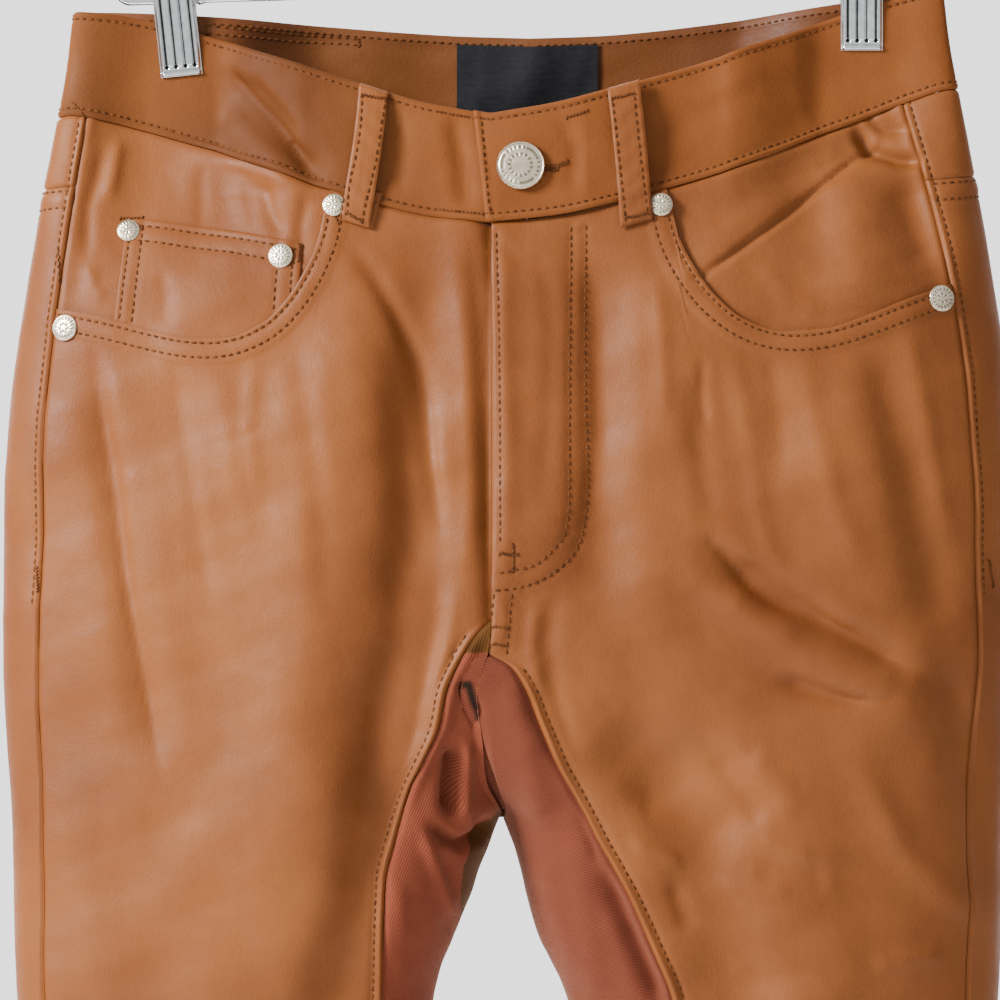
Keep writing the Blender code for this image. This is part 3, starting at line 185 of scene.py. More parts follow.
# ---- Folds that the photo shows, in its pixels --------------------------------------------------
# Each is a line of points, its half width in pixels (where a third of it is left) and its height
# in millimetres. A negative height is a trough.
FOLDS = (
    # the wearer's right leg
    (((472, 232), (480, 330), (486, 470), (486, 596)), 10, -1.5),
    (((446, 262), (450, 360), (448, 470), (440, 560), (426, 680), (402, 790), (374, 880), (344, 1010)),
     44, -2.7),
    (((290, 330), (318, 470), (318, 640), (292, 800), (262, 1000)), 105, 3.7),
    (((344, 240), (372, 272), (396, 311), (420, 372), (428, 456), (438, 536)), 9, -1.9),
    (((438, 536), (432, 640), (416, 740), (392, 860)), 15, -1.3),
    (((352, 330), (374, 470), (374, 640), (346, 800), (310, 980)), 24, 1.2),
    (((456, 596), (441, 668), (429, 730), (408, 790), (380, 900)), 10, 1.7),
    (((452, 250), (464, 360), (470, 480), (464, 590)), 8, 0.3),
    (((95, 345), (104, 420), (117, 500), (128, 583), (150, 700), (165, 790)), 5, -0.9),
    (((110, 350), (122, 440), (136, 540), (152, 640)), 10, 0.7),
    (((205, 350), (222, 400), (236, 480), (256, 560)), 15, 0.7),
    (((176, 352), (182, 420), (196, 500), (214, 620)), 9, -0.5),
    (((255, 356), (250, 430), (262, 500)), 8, 0.5),
    (((206, 444), (236, 440), (266, 429)), 6, -0.28),
    (((300, 330), (306, 400), (322, 500), (330, 620)), 13, -0.8),
    (((214, 70), (252, 106), (290, 142), (330, 186)), 14, -2.2),
    (((218, 62), (244, 84), (268, 112), (290, 142), (312, 172)), 5.5, -2.6),
    (((244, 82), (284, 124), (312, 156)), 5, 0.7),
    (((252, 76), (276, 106), (298, 136)), 6, -1.8),
    (((206, 60), (214, 96), (220, 130)), 14, -1.2),
    (((238, 40), (240, 120), (242, 190)), 54, 3.2),
    (((392, 100), (402, 140), (398, 196)), 9, -0.8),
    (((452, 112), (462, 160), (468, 212)), 9, -1.5),
    (((102, 140), (97, 172), (86, 205), (84, 262)), 7, -0.9),
    (((118, 136), (113, 168), (106, 200)), 7, 0.9),
    (((203, 160), (199, 190), (202, 226)), 8, -0.6),
    (((262, 180), (268, 210), (282, 236)), 7, -1.1),
    (((306, 192), (300, 226), (300, 262)), 7, -0.9),
    (((236, 172), (238, 200), (246, 228)), 7, 0.6),
    (((86, 262), (92, 288), (104, 300)), 7, 0.7),
    (((160, 270), (166, 300), (160, 326)), 8, -0.5),
    # the fly and the crotch
    (((505, 238), (503, 330), (507, 430), (508, 530)), 9, 0.5),
    (((540, 240), (552, 330), (548, 430), (540, 520)), 10, -0.5),
    (((500, 246), (520, 262), (548, 262)), 6, -0.5),
    (((516, 590), (530, 596), (548, 592)), 3, -0.5),
    (((513, 600), (528, 610), (540, 612)), 3, -0.45),
    (((508, 576), (522, 574), (534, 566)), 3, -0.35),
    (((500, 602), (506, 620), (500, 640)), 5, 0.4),
    (((590, 236), (596, 330), (600, 430), (590, 530)), 9, -0.9),
    (((606, 240), (606, 330), (604, 440), (594, 560)), 22, -1.2),
    (((556, 590), (548, 640), (556, 700), (580, 770)), 10, -0.9),
    (((536, 600), (532, 650), (540, 690)), 7, 0.7),
    # the wearer's left leg
    (((704, 536), (726, 556), (748, 580), (771, 599), (802, 617)), 6, -1.1),
    (((790, 610), (819, 626), (867, 654), (922, 694)), 12, -0.8),
    (((716, 526), (748, 556), (782, 580), (828, 602), (880, 632)), 13, 0.8),
    (((722, 590), (760, 620), (800, 640)), 12, 0.7),
    (((780, 676), (808, 690), (835, 698), (870, 704)), 8, -0.8),
    (((790, 664), (830, 682), (870, 688)), 8, 0.5),
    (((713, 752), (735, 781), (752, 802), (757, 826)), 13, -1.3),
    (((748, 752), (776, 784), (796, 816)), 15, 1.0),
    (((757, 836), (784, 846), (812, 853)), 6, 0.9),
    (((752, 868), (790, 876), (830, 872)), 15, -1.3),
    (((630, 842), (656, 850), (684, 861)), 7, 0.9),
    (((640, 800), (670, 806), (700, 818)), 12, -0.6),
    (((672, 880), (680, 905), (690, 930)), 10, -1.1),
    (((716, 880), (752, 889), (792, 893)), 7, 0.9),
    (((850, 758), (876, 806), (902, 850), (940, 890), (985, 925)), 16, 1.3),
    (((936, 640), (960, 730), (976, 810), (992, 900)), 20, -2.0),
    (((838, 350), (862, 460), (880, 580), (890, 700), (900, 860)), 60, 3.5),
    (((600, 730), (650, 778), (700, 812), (742, 850)), 40, -2.4),
    (((590, 820), (640, 800), (690, 760), (740, 748)), 24, -1.2),
    (((735, 968), (790, 974), (850, 966)), 14, -1.0),
    (((868, 962), (905, 957), (945, 955)), 9, 0.8),
    (((640, 952), (664, 1000), (690, 1050)), 12, 0.7),
    (((703, 356), (701, 392), (706, 430)), 6, -0.6),
    (((732, 350), (742, 400), (752, 460), (760, 530)), 11, 0.8),
    (((690, 380), (700, 450), (712, 530)), 14, -1.1),
    (((770, 348), (776, 400), (782, 480)), 10, -0.6),
    (((800, 344), (812, 420), (832, 500), (862, 580)), 13, 0.8),
    (((872, 330), (892, 420), (916, 520), (940, 620)), 22, -2.0),
    (((905, 316), (925, 420), (945, 540)), 10, 0.7),
    (((655, 280), (662, 340), (664, 420)), 9, 0.6),
    (((762, 520), (768, 548), (784, 566)), 7, 0.6),
    # the wearer's left pocket
    (((690, 284), (735, 252), (771, 226), (811, 195), (851, 163), (886, 140)), 4.0, -1.5),
    (((688, 262), (734, 232), (784, 196), (846, 146)), 15, 0.75),
    (((856, 122), (872, 148), (898, 156), (928, 160)), 7, -3.6),
    (((866, 112), (886, 126), (912, 128)), 5, -1.6),
    (((838, 160), (852, 200), (858, 250), (862, 310)), 40, 3.4),
    (((906, 176), (918, 214), (934, 266)), 20, -1.8),
    (((760, 262), (790, 300), (826, 312)), 12, 0.5),
    # the waistband's left half
    (((620, 112), (690, 96), (770, 66)), 12, 0.6),
    (((560, 118), (576, 150), (570, 198)), 9, -0.8),
    (((596, 112), (606, 150), (610, 200)), 6, -0.9),
    (((662, 190), (720, 168), (790, 140)), 9, -0.4),
    (((830, 60), (868, 76), (915, 70)), 12, -0.8),
    (((804, 10), (804, 90), (808, 180)), 48, 3.2),
    (((712, 20), (712, 110), (716, 190)), 75, -3.8),
    (((780, 92), (850, 100), (920, 76)), 12, 0.5),
)
TWILL_FOLDS = (
    (((461, 680), (468, 694), (475, 706), (480, 720)), 5, -8.0),
    (((455, 748), (453, 780), (451, 816)), 8, -9.0),
    (((470, 740), (468, 780), (464, 826)), 7, 2.6),
    (((430, 822), (446, 838), (462, 845), (478, 837), (492, 818)), 6, -5.5),
    (((422, 830), (442, 880), (456, 920)), 6, 2.4),
    (((444, 850), (452, 890), (450, 940)), 9, -1.5),
    (((508, 680), (520, 720), (536, 780), (552, 830)), 14, 2.2),
    (((566, 826), (580, 880), (592, 950), (600, 1010)), 12, 1.6),
    (((600, 866), (624, 918), (648, 975), (664, 1020)), 11, -6.0),
    (((546, 850), (560, 910), (584, 990)), 13, 1.0),
    (((578, 806), (590, 836), (598, 862)), 6, -2.0),
    (((398, 872), (404, 930), (402, 1000)), 10, 0.9),
)
BACK_FOLDS = (
    # the wearer's right is at the left of the photo here too
    (((300, 700), (240, 716), (160, 706)), 12, -1.6), (((300, 730), (244, 748), (180, 742)), 10, 1.2),
    (((700, 712), (776, 730), (850, 716)), 12, -1.6), (((706, 742), (780, 762), (846, 752)), 10, 1.2),
    (((420, 640), (396, 760), (340, 900), (300, 1080)), 16, -1.8),
    (((596, 650), (628, 770), (690, 900), (736, 1070)), 16, -1.8),
    (((474, 420), (470, 520), (462, 620)), 9, -1.2), (((548, 430), (556, 520), (560, 620)), 9, -1.1),
    (((250, 240), (240, 300), (232, 380)), 14, -1.0), (((770, 236), (786, 310), (792, 390)), 14, -1.0),
    (((150, 320), (140, 480), (146, 640)), 13, 1.0), (((872, 330), (888, 470), (880, 620)), 13, 1.0),
    (((330, 210), (338, 260), (334, 300)), 9, 0.8), (((690, 214), (684, 262), (690, 310)), 9, 0.8),
    (((210, 820), (180, 960), (190, 1120)), 18, 1.4), (((820, 830), (840, 980), (826, 1140)), 18, 1.4),
)
LEG_FOLDS = (
    # both faces below the photo's frame
    (((150, 1180), (190, 1216), (260, 1228), (340, 1210)), 16, -1.6),
    (((160, 1240), (230, 1262), (330, 1250)), 14, 1.4),
    (((170, 1330), (230, 1352), (310, 1340)), 15, -1.6),
    (((860, 1200), (800, 1230), (730, 1226), (680, 1200)), 16, -1.6),
    (((850, 1262), (780, 1282), (700, 1262)), 14, 1.4), (((846, 1346), (790, 1364), (716, 1350)), 15, -1.6),
    (((250, 1450), (236, 1700), (200, 2000), (180, 2300)), 30, 2.2),
    (((310, 1500), (320, 1800), (340, 2100), (350, 2400)), 26, -2.0),
    (((760, 1440), (780, 1700), (820, 2000), (840, 2300)), 30, 2.2),
    (((700, 1500), (700, 1800), (676, 2100), (664, 2400)), 26, -2.0),
    (((130, 1600), (110, 1900), (70, 2300)), 20, 1.5), (((900, 1600), (920, 1900), (960, 2300)), 20, 1.5),
    (((260, 2100), (256, 2250), (262, 2480)), 22, 1.8), (((770, 2120), (764, 2280), (770, 2480)), 22, 1.8),
)


# ---- The surface of the cloth -------------------------------------------------------------------
def curve(rows, column=1):
    """A smooth curve through a table's values that never runs past them."""
    keys = np.array([row[0] for row in rows], float)
    values = np.array([row[column] for row in rows], float)
    chords = np.diff(values) / np.diff(keys)
    slopes = np.empty_like(values)
    slopes[0], slopes[-1] = chords[0], chords[-1]
    before, after = chords[:-1], chords[1:]
    level = before * after <= 0.0
    slopes[1:-1] = np.where(level, 0.0, 2.0 * before * after / np.where(level, 1.0, before + after))

    def at(key):
        key = np.clip(np.asarray(key, float), keys[0], keys[-1])
        i = np.clip(np.searchsorted(keys, key, side="right") - 1, 0, len(keys) - 2)
        span = keys[i + 1] - keys[i]
        t = (key - keys[i]) / span
        rest = 1.0 - t
        return (values[i] * (1.0 + 2.0 * t) * rest * rest + values[i + 1] * t * t * (3.0 - 2.0 * t)
                + span * t * rest * (slopes[i] * rest - slopes[i + 1] * t))
    return at


half_width, inner_edge, inner_radius = (curve(SECTIONS, n) for n in (1, 2, 3))
depth = {FRONT: curve(SECTIONS, 4), BACK: curve(SECTIONS, 5)}
twist = {FRONT: curve(TWIST, 1), BACK: curve(TWIST, 2)}
band_top = {FRONT: curve(BAND_EDGES, 1), BACK: curve(BAND_EDGES, 3)}
waist_seam = {FRONT: curve(BAND_EDGES, 2), BACK: curve(BAND_EDGES, 4)}
outseam_inset = {RIGHT: curve(OUTSEAM, 1), LEFT: curve(OUTSEAM, 2)}
front_inseam = {side: curve(FRONT_INSEAM[side]) for side in (RIGHT, LEFT)}
back_inseam, scoop = curve(BACK_INSEAM), curve(SCOOP)


def mix(low, high, share):
    return low + (high - low) * share


def smooth_step(low, high, value):
    """From 0 at low to 1 at high, level at both."""
    t = np.clip((value - low) / (high - low), 0.0, 1.0)
    return t * t * (3.0 - 2.0 * t)


def bump(value, width):
    """1 at 0, and about a third of it at the width."""
    return np.exp(-((value / width) ** 2))


def unit(vectors):
    """Vectors made 1 long."""
    return vectors / np.maximum(np.linalg.norm(vectors, axis=-1, keepdims=True), 1e-6)


def distance_along(line):
    """Length of a line of points up to each of them."""
    return np.concatenate([[0.0], np.cumsum(np.linalg.norm(np.diff(line, axis=0), axis=1))])


def ring_angles(count):
    return 2.0 * math.pi * np.arange(count) / count


def stations(*spans):
    """Places along a line from spans of (start, end, pitch)."""
    places = []
    for start, end, pitch in spans:
        count = max(1, int(round((end - start) / pitch)))
        places += list(np.linspace(start, end, count, endpoint=False))
    return np.array(places + [spans[-1][1]])


def to_px(points):
    """Pixel of the photo at which points in millimetres show."""
    return points[..., 0] / PIXEL + CENTRE_COLUMN, (TOP_HEIGHT - points[..., 2]) / PIXEL


def from_px(u, v):
    """X and Z in millimetres of a pixel of the photo."""
    return (np.asarray(u, float) - CENTRE_COLUMN) * PIXEL, TOP_HEIGHT - np.asarray(v, float) * PIXEL


def line_reach(u, v, line):
    """Distance of places from a line of points, and the share along it."""
    line = np.asarray(line, float)
    steps = np.diff(line, axis=0)
    lengths = np.hypot(steps[:, 0], steps[:, 1])
    starts = np.concatenate([[0.0], np.cumsum(lengths)])
    best, along = np.full(np.shape(u), 1e9), np.zeros(np.shape(u))
    for (a, b), (run_u, run_v), length, start in zip(line, steps, lengths, starts):
        t = np.clip(((u - a) * run_u + (v - b) * run_v) / length ** 2, 0.0, 1.0)
        gap = np.hypot(u - a - t * run_u, v - b - t * run_v)
        closer = gap < best
        best = np.where(closer, gap, best)
        along = np.where(closer, (start + t * length) / starts[-1], along)
    return best, along


def folds(u, v, table):
    """Height of a table's folds at places of the photo."""
    total = np.zeros(np.shape(u))
    for line, width, height in table:
        gap, along = line_reach(u, v, line)
        ends = np.minimum(1.0, 5.0 * along + 0.1) * np.minimum(1.0, 5.0 * (1.0 - along) + 0.1)
        total += height * ends * bump(gap, width)
    return total


WAVES = 9                    # in each ripple


def ripple(u, v, seed, wave, height):
    """Faint uneven waves of about one wavelength, in every direction."""
    source = np.random.default_rng(seed)
    total = np.zeros(np.shape(u))
    for _ in range(WAVES):
        angle, phase = source.uniform(0.0, 2.0 * math.pi, 2)
        number = 2.0 * math.pi / (wave * source.uniform(0.7, 1.5))
        total += np.sin(number * (u * math.cos(angle) + v * math.sin(angle)) + phase)
    return height * total / math.sqrt(WAVES)


def twist_fade(across):
    """Share of the twist that is left at a distance from the centre."""
    reach = np.minimum(1.0, np.abs(across) / TWIST_REACH)
    return (1.0 - reach * reach) ** 2


def untwist(face, across, drop):
    """Where a place of the twisted cloth lies on the plain form."""
    return across - twist[face](drop) * twist_fade(across)


def crease_height(face, across, drop):
    """Height of the large creases, which the solids have too."""
    total = np.zeros(np.shape(across))
    for crease_face, x0, d0, x1, d1, x2, d2, width, height in CREASES:
        gap, along = line_reach(across, drop, ((x0, d0), (x1, d1), (x2, d2)))
        fade = np.minimum(1.0, 4.0 * along + 0.35) * np.minimum(1.0, 4.0 * (1.0 - along) + 0.35)
        total += np.where(face == crease_face, height * fade * bump(gap, width), 0.0)
    return total


def pinch(side, across, drop):
    """Share by which a clip presses the cloth flat."""
    reach = across - abs(CLIP_X[side])
    end = np.where(reach > 0.0, PINCH_OUT, PINCH_IN)
    beside = 1.0 - smooth_step(PINCH_FLAT, end, np.abs(reach))
    return beside * (1.0 - smooth_step(PINCH_FULL, PINCH_END, drop))


def hung(side, face, drop, across, rim, turn):
    """Place of a point of the section, with folds, pinch, twist and lean."""
    x = side * across
    out = np.where(face < 0, depth[FRONT](drop), depth[BACK](drop)) * rim * turn
    out = out + crease_height(face, x, drop) * np.minimum(1.0, 2.0 * rim) * np.minimum(1.0, 2.0 * turn)
    out = np.where(out > PINCH_HALF, mix(out, PINCH_HALF, pinch(side, across, drop)), out)
    x = x + np.where(face < 0, twist[FRONT](drop), twist[BACK](drop)) * twist_fade(x)
    lean = LEAN * (x / LEAN_AT) ** 3 * (1.0 - smooth_step(*LEAN_END, drop))
    return np.stack(np.broadcast_arrays(x, face * out, lean - HOOK_TO_WAIST - drop), -1)


def inner_turn(drop, across):
    """Share of the depth at a distance across, where the section turns round the inner leg."""
    reach = (inner_edge(drop) + inner_radius(drop) - across) / inner_radius(drop)
    return np.sqrt(1.0 - np.clip(reach, 0.0, 1.0) ** 2)


def leg_start(drop):
    """Distance across at which a leg's section starts, 0 in the torso."""
    return np.maximum(0.0, inner_edge(drop))


def around_of(drop, across):
    """Share of the way round from centre front (0) to the side (1), at a distance across."""
    start = leg_start(drop)
    share = (across - start) / (half_width(drop) - start)
    angle = np.arcsin(np.minimum(1.0, np.abs(share)) ** (0.5 * ROUNDNESS))
    return np.copysign(angle / (0.5 * math.pi), share)


def skin(side, drop, around):
    """Cloth surface: around is 0 at centre front, 1 at the side and 2 at centre back."""
    face = np.where(around <= 1.0, FRONT, BACK)
    share = np.where(around <= 1.0, around, 2.0 - around)
    angle = 0.5 * math.pi * share
    start = leg_start(drop)
    reach = np.copysign(np.abs(np.sin(angle)) ** (2.0 / ROUNDNESS), share)
    across = start + (half_width(drop) - start) * reach
    rim = np.abs(np.cos(angle)) ** (2.0 / ROUNDNESS)
    return hung(side, face, drop, across, rim, inner_turn(drop, np.abs(across)))


def turn_of(drop, across):
    """Angle round the inner leg at a distance across."""
    radius = inner_radius(drop)
    reach = (inner_edge(drop) + radius - across) / radius
    return np.where(reach > 0.0, np.arccos(np.clip(reach, -1.0, 1.0)), 0.5 * math.pi - reach)


def inner_skin(side, drop, turn):
    """Cloth surface round the inner leg: turn is an angle, above 0 on the front."""
    face = np.where(turn >= 0.0, FRONT, BACK)
    radius = inner_radius(drop)
    angle = np.abs(turn)
    near = angle < 0.5 * math.pi
    across = inner_edge(drop) + radius * np.where(near, 1.0 - np.cos(angle), 1.0 + angle - 0.5 * math.pi)
    stand = np.where(near, np.sin(angle), 1.0)
    start = leg_start(drop)
    share = np.minimum(1.0, np.abs(across - start) / (half_width(drop) - start))
    rim = (1.0 - share ** ROUNDNESS) ** (1.0 / ROUNDNESS)
    return hung(side, face, drop, across, rim, stand)


def frame_of(surface, side, drop, place):
    """Points of a surface and the directions that point out of the cloth there."""
    drop, place = np.broadcast_arrays(np.asarray(drop, float), np.asarray(place, float))
    along = surface(side, drop, place + 0.002) - surface(side, drop, place - 0.002)
    down = surface(side, drop + 0.5, place) - surface(side, drop - 0.5, place)
    return surface(side, drop, place), unit(np.cross(down, along) * side)


def cloth_at(side, face, drop, across):
    """The same on one face of the garment, at distances from the centre."""
    place = around_of(drop, across)
    return frame_of(skin, side, drop, place if face == FRONT else 2.0 - place)


def reach_of(drop, around):
    """Distance from the centre of a place round the section."""
    share = np.where(around <= 1.0, around, 2.0 - around)
    start = leg_start(drop)
    sine = np.sin(0.5 * math.pi * share)
    return start + (half_width(drop) - start) * np.copysign(np.abs(sine) ** (2.0 / ROUNDNESS), share)


def edge_drop(edge, around):
    """Drop of an edge of the waistband at places round the section."""
    drop = np.full(np.shape(around), 30.0)
    for _ in range(5):
        across = np.abs(reach_of(drop, around))
        drop = np.where(around <= 1.0, edge[FRONT](across), edge[BACK](across))
    return drop


def yoke_drop(side, around):
    """Drop of the yoke's seam at places round the section."""
    share = np.where(around <= 1.0, 1.0, np.sin(0.5 * math.pi * (2.0 - around)) ** (2.0 / ROUNDNESS))
    return mix(YOKE_CENTRE, YOKE_SIDE[side], share)


def panel_reach(side, drop):
    """Distance across of the outseam, on the front."""
    return half_width(drop) - outseam_inset[side](drop)


def front_inner(side, drop):
    """Distance from the centre of a front's inner edge."""
    across = side * untwist(FRONT, front_inseam[side](drop), drop)
    return np.where(drop <= FRONT_CROTCH[side], 0.0, np.maximum(0.0, across))


# ---- Materials ----------------------------------------------------------------------------------
class Nodes:
    """A short way to write the nodes of a material or of the world."""

    def __init__(self, data, shader, coordinates):
        data.use_nodes = True
        self.data, self.tree = data, data.node_tree
        self.shader = self.tree.nodes[shader]
        self.place = self.add("ShaderNodeTexCoord").outputs[coordinates]

    def add(self, kind, **settings):
        node = self.tree.nodes.new(kind)
        for key, value in settings.items():
            setattr(node, key, value)
        return node

    def link(self, start, node, socket):
        self.tree.links.new(start, node.inputs[socket])

    def noise(self, scale, detail=3.0, rough=0.5, output="Fac"):
        node = self.add("ShaderNodeTexNoise")
        node.inputs["Scale"].default_value = scale
        node.inputs["Detail"].default_value = detail
        node.inputs["Roughness"].default_value = rough
        self.link(self.place, node, "Vector")
        return node.outputs[output]

    def cells(self, scale):
        node = self.add("ShaderNodeTexVoronoi")
        node.inputs["Scale"].default_value = scale
        self.link(self.place, node, "Vector")
        return node.outputs["Distance"]

    def ramp(self, value, *stops):
        node = self.add("ShaderNodeValToRGB")
        while len(node.color_ramp.elements) < len(stops):
            node.color_ramp.elements.new(0.5)
        for element, (position, colour) in zip(node.color_ramp.elements, stops):
            element.position = position
            element.color = (*colour, 1.0)
        self.link(value, node, "Fac")
        return node.outputs["Color"]

    def blend(self, share, first, second, kind="MIX"):
        node = self.add("ShaderNodeMix", data_type="RGBA", blend_type=kind)
        for socket, value in ((0, share), (6, first), (7, second)):
            if isinstance(value, (float, tuple)):
                node.inputs[socket].default_value = value
            else:
                self.link(value, node, socket)
        return node.outputs[2]

    def maths(self, kind, first, second=0.0):
        node = self.add("ShaderNodeMath", operation=kind)
        for socket, value in enumerate((first, second)):
            if isinstance(value, float):
                node.inputs[socket].default_value = value
            else:
                self.link(value, node, socket)
        return node.outputs[0]

    def ranged(self, value, low, high, start=0.0, end=1.0, **settings):
        node = self.add("ShaderNodeMapRange", **settings)
        for socket, amount in (("From Min", start), ("From Max", end), ("To Min", low), ("To Max", high)):
            node.inputs[socket].default_value = amount
        self.link(value, node, "Value")
        return node.outputs[0]

    def bumps(self, *heights):
        """Bumps of (height, distance in millimetres), one on top of another."""
        normal = None
        for height, distance in heights:
            node = self.add("ShaderNodeBump")
            node.inputs["Strength"].default_value = 1.0
            node.inputs["Distance"].default_value = distance * MM
            self.link(height, node, "Height")
            if normal:
                self.link(normal, node, "Normal")
            normal = node.outputs["Normal"]
        self.link(normal, self.shader, "Normal")

    def colour(self, value):
        self.link(value, self.shader, "Base Color")

    def rough(self, value):
        self.link(value, self.shader, "Roughness")

    def fixed(self, **values):
        for name, value in values.items():
            self.shader.inputs[name.replace("_", " ")].default_value = value


def paint_nodes(name):
    """The nodes of a new material."""
    return Nodes(bpy.data.materials.new(name), "Principled BSDF", "Object")


def make_leather(name, light, mid, dark, rough=(0.48, 0.64), grain=1.0, shine=0.20, painted_shade=None):
    """Coated faux leather: a soft mottle, fine pebble grain and faint drag lines.

    Given a last factor, the front of the wearer's right side is painted darker by it, fading out towards the
    centre: this is painted shade.
    """
    n = paint_nodes(name)
    broad = n.noise(11.0, 4.0, 0.55)
    patch = n.noise(46.0, 3.0, 0.6)
    body = n.ramp(broad, (0.28, dark), (0.5, mid), (0.74, light))
    body = n.blend(n.ranged(patch, 0.0, 0.30, 0.35, 0.75), body, (*dark, 1.0))
    grain_cells = n.cells(1150.0)
    pits = n.ranged(grain_cells, 0.84, 1.03, 0.05, 0.65)
    tone = n.add("ShaderNodeCombineColor")
    for socket in range(3):
        n.link(pits, tone, socket)
    body = n.blend(0.35, body, tone.outputs[0], "MULTIPLY")
    # Painted shade: darker on the front of the wearer's right side, fading out towards the centre.
    if painted_shade is not None:
        at = n.add("ShaderNodeSeparateXYZ")
        n.link(n.place, at, "Vector")
        share = n.maths("MULTIPLY", n.ranged(at.outputs["X"], 1.0, 0.0, -0.085, -0.02),
                        n.ranged(at.outputs["Y"], 1.0, 0.0, -0.008, 0.0))
        body = n.blend(share, body, n.blend(1.0, body, (painted_shade, painted_shade, painted_shade, 1.0), "MULTIPLY"))
    n.colour(body)
    n.rough(n.ranged(n.noise(70.0, 4.0, 0.6), rough[0], rough[1], 0.3, 0.7))
    n.bumps((n.noise(95.0, 4.0, 0.55), 0.22 * grain), (n.noise(420.0, 3.0, 0.6), 0.10 * grain),
            (grain_cells, 0.055 * grain))
    n.fixed(Specular_IOR_Level=shine)
    return n.data


def make_twill(name, way, light, mid, dark, pitch, shade=None):
    """Brushed stretch twill: fine ribs, laid by the cloth's own coordinates.

    With a shade, the places that the layer "edge" marks are painted as that leather in its shaded tones, or
    dark as the painted shadow of a hole.
    """
    n = paint_nodes(name)
    cloth = n.add("ShaderNodeUVMap", uv_map="weave").outputs["UV"]
    wobble = n.add("ShaderNodeVectorMath", operation="MULTIPLY_ADD")
    n.link(n.noise(90.0, 3.0, 0.5, output="Color"), wobble, 0)
    wobble.inputs[1].default_value = (0.0012, 0.0012, 0.0)
    n.link(cloth, wobble, 2)
    dot = n.add("ShaderNodeVectorMath", operation="DOT_PRODUCT")
    n.link(wobble.outputs[0], dot, 0)
    length = math.hypot(*way)
    dot.inputs[1].default_value = tuple(part / length * 2.0 * math.pi / (pitch * MM) for part in way) + (0.0,)
    rib = n.ranged(n.maths("SINE", dot.outputs["Value"]), 0.0, 1.0, -1.0, 1.0)
    broken = n.noise(1300.0, 3.0, 0.7)
    rib = n.maths("MULTIPLY", rib, n.ranged(broken, 0.45, 1.0, 0.3, 0.6))
    body = n.ramp(rib, (0.0, dark), (0.45, mid), (0.95, light))
    body = n.blend(n.ranged(n.noise(30.0, 5.0, 0.65), 0.0, 0.5, 0.38, 0.72), body, (*dark, 1.0))
    # Painted shade: the marked leather in its shaded tones, and the painted shadow of the hole.
    if shade is not None:
        marks = n.add("ShaderNodeSeparateXYZ")
        n.link(n.add("ShaderNodeUVMap", uv_map="edge").outputs["UV"], marks, "Vector")
        shaded_leather_tone = n.ramp(n.noise(46.0, 3.0, 0.6), (0.3, shade[1]), (0.7, shade[0]))
        body = n.blend(n.ranged(marks.outputs["X"], 0.0, 1.0, -0.3, 0.3), body, shaded_leather_tone)
        body = n.blend(n.ranged(marks.outputs["Y"], 0.0, 1.0, -1.0, 0.6), body, shade[2] + (1.0,))
    n.colour(body)
    n.rough(n.ranged(broken, 0.82, 0.97))
    n.bumps((n.noise(140.0, 3.0, 0.5), 0.22), (rib, 0.11), (n.noise(1500.0, 2.0, 0.6), 0.07))
    n.fixed(Specular_IOR_Level=0.15, Sheen_Weight=0.12, Sheen_Roughness=0.5,
            Sheen_Tint=(0.85, 0.45, 0.28, 1.0))
    return n.data


def make_thread(name, light, dark):
    """Spun thread: darker and lighter from stitch to stitch, twisted strands."""
    n = paint_nodes(name)
    n.colour(n.ramp(n.noise(260.0, 2.0, 0.6), (0.32, dark), (0.66, light)))
    n.rough(n.ranged(n.noise(900.0), 0.55, 0.8))
    n.bumps((n.noise(2600.0, 2.0), 0.05))
    n.fixed(Specular_IOR_Level=0.12)
    return n.data


def make_metal(name, light, dark, rough, scratch):
    """Plated metal with faint smears and handling marks."""
    n = paint_nodes(name)
    n.colour(n.ramp(n.noise(180.0, 4.0, 0.6), (0.3, dark), (0.7, light)))
    n.rough(n.ranged(n.noise(320.0, 5.0, 0.65), rough[0], rough[1], 0.3, 0.7))
    n.bumps((n.noise(900.0, 3.0), scratch))
    n.fixed(Metallic=1.0)
    return n.data


def make_label_cloth():
    """Black satin-woven label: fine horizontal picks, slightly shiny."""
    n = paint_nodes("label_weave")
    wave = n.add("ShaderNodeTexWave", wave_type="BANDS", bands_direction="Z")
    wave.inputs["Scale"].default_value = 620.0
    wave.inputs["Distortion"].default_value = 0.6
    n.link(n.place, wave, "Vector")
    fuzz = n.noise(500.0, 3.0)
    n.colour(n.ramp(n.maths("MULTIPLY", wave.outputs["Fac"], fuzz),
                    (0.1, (0.004, 0.0042, 0.005)), (0.6, (0.017, 0.017, 0.02))))
    n.rough(n.ranged(fuzz, 0.55, 0.8))
    n.bumps((wave.outputs["Fac"], 0.06))
    n.fixed(Specular_IOR_Level=0.15)
    return n.data


def toned(share, tones):
    """Tones made darker or lighter by a share."""
    return [tuple(share * part for part in tone) for tone in tones]


# Each colour is given as its light, middle and dark tone.
CAMEL = ((0.198, 0.0615, 0.0128), (0.166, 0.0485, 0.0096), (0.126, 0.0335, 0.0058))
CAMEL_BACK = ((0.15, 0.050, 0.014), (0.13, 0.040, 0.010), (0.10, 0.030, 0.007))
RUST = ((0.146, 0.0345, 0.0165), (0.112, 0.0252, 0.0115), (0.084, 0.0178, 0.0080))
# Painted shade at the crotch: the leather's tones in shade, light and dark, then the painted shadow of the
# hole.
SHADE = ((0.066, 0.024, 0.003), (0.044, 0.014, 0.0014), (0.0085, 0.0024, 0.0010))
CROSS, UPRIGHT = (0.38, 0.93), (0.99, 0.10)         # ways in which the twill's ribs follow each other
leather = make_leather("camel_leather", *CAMEL)
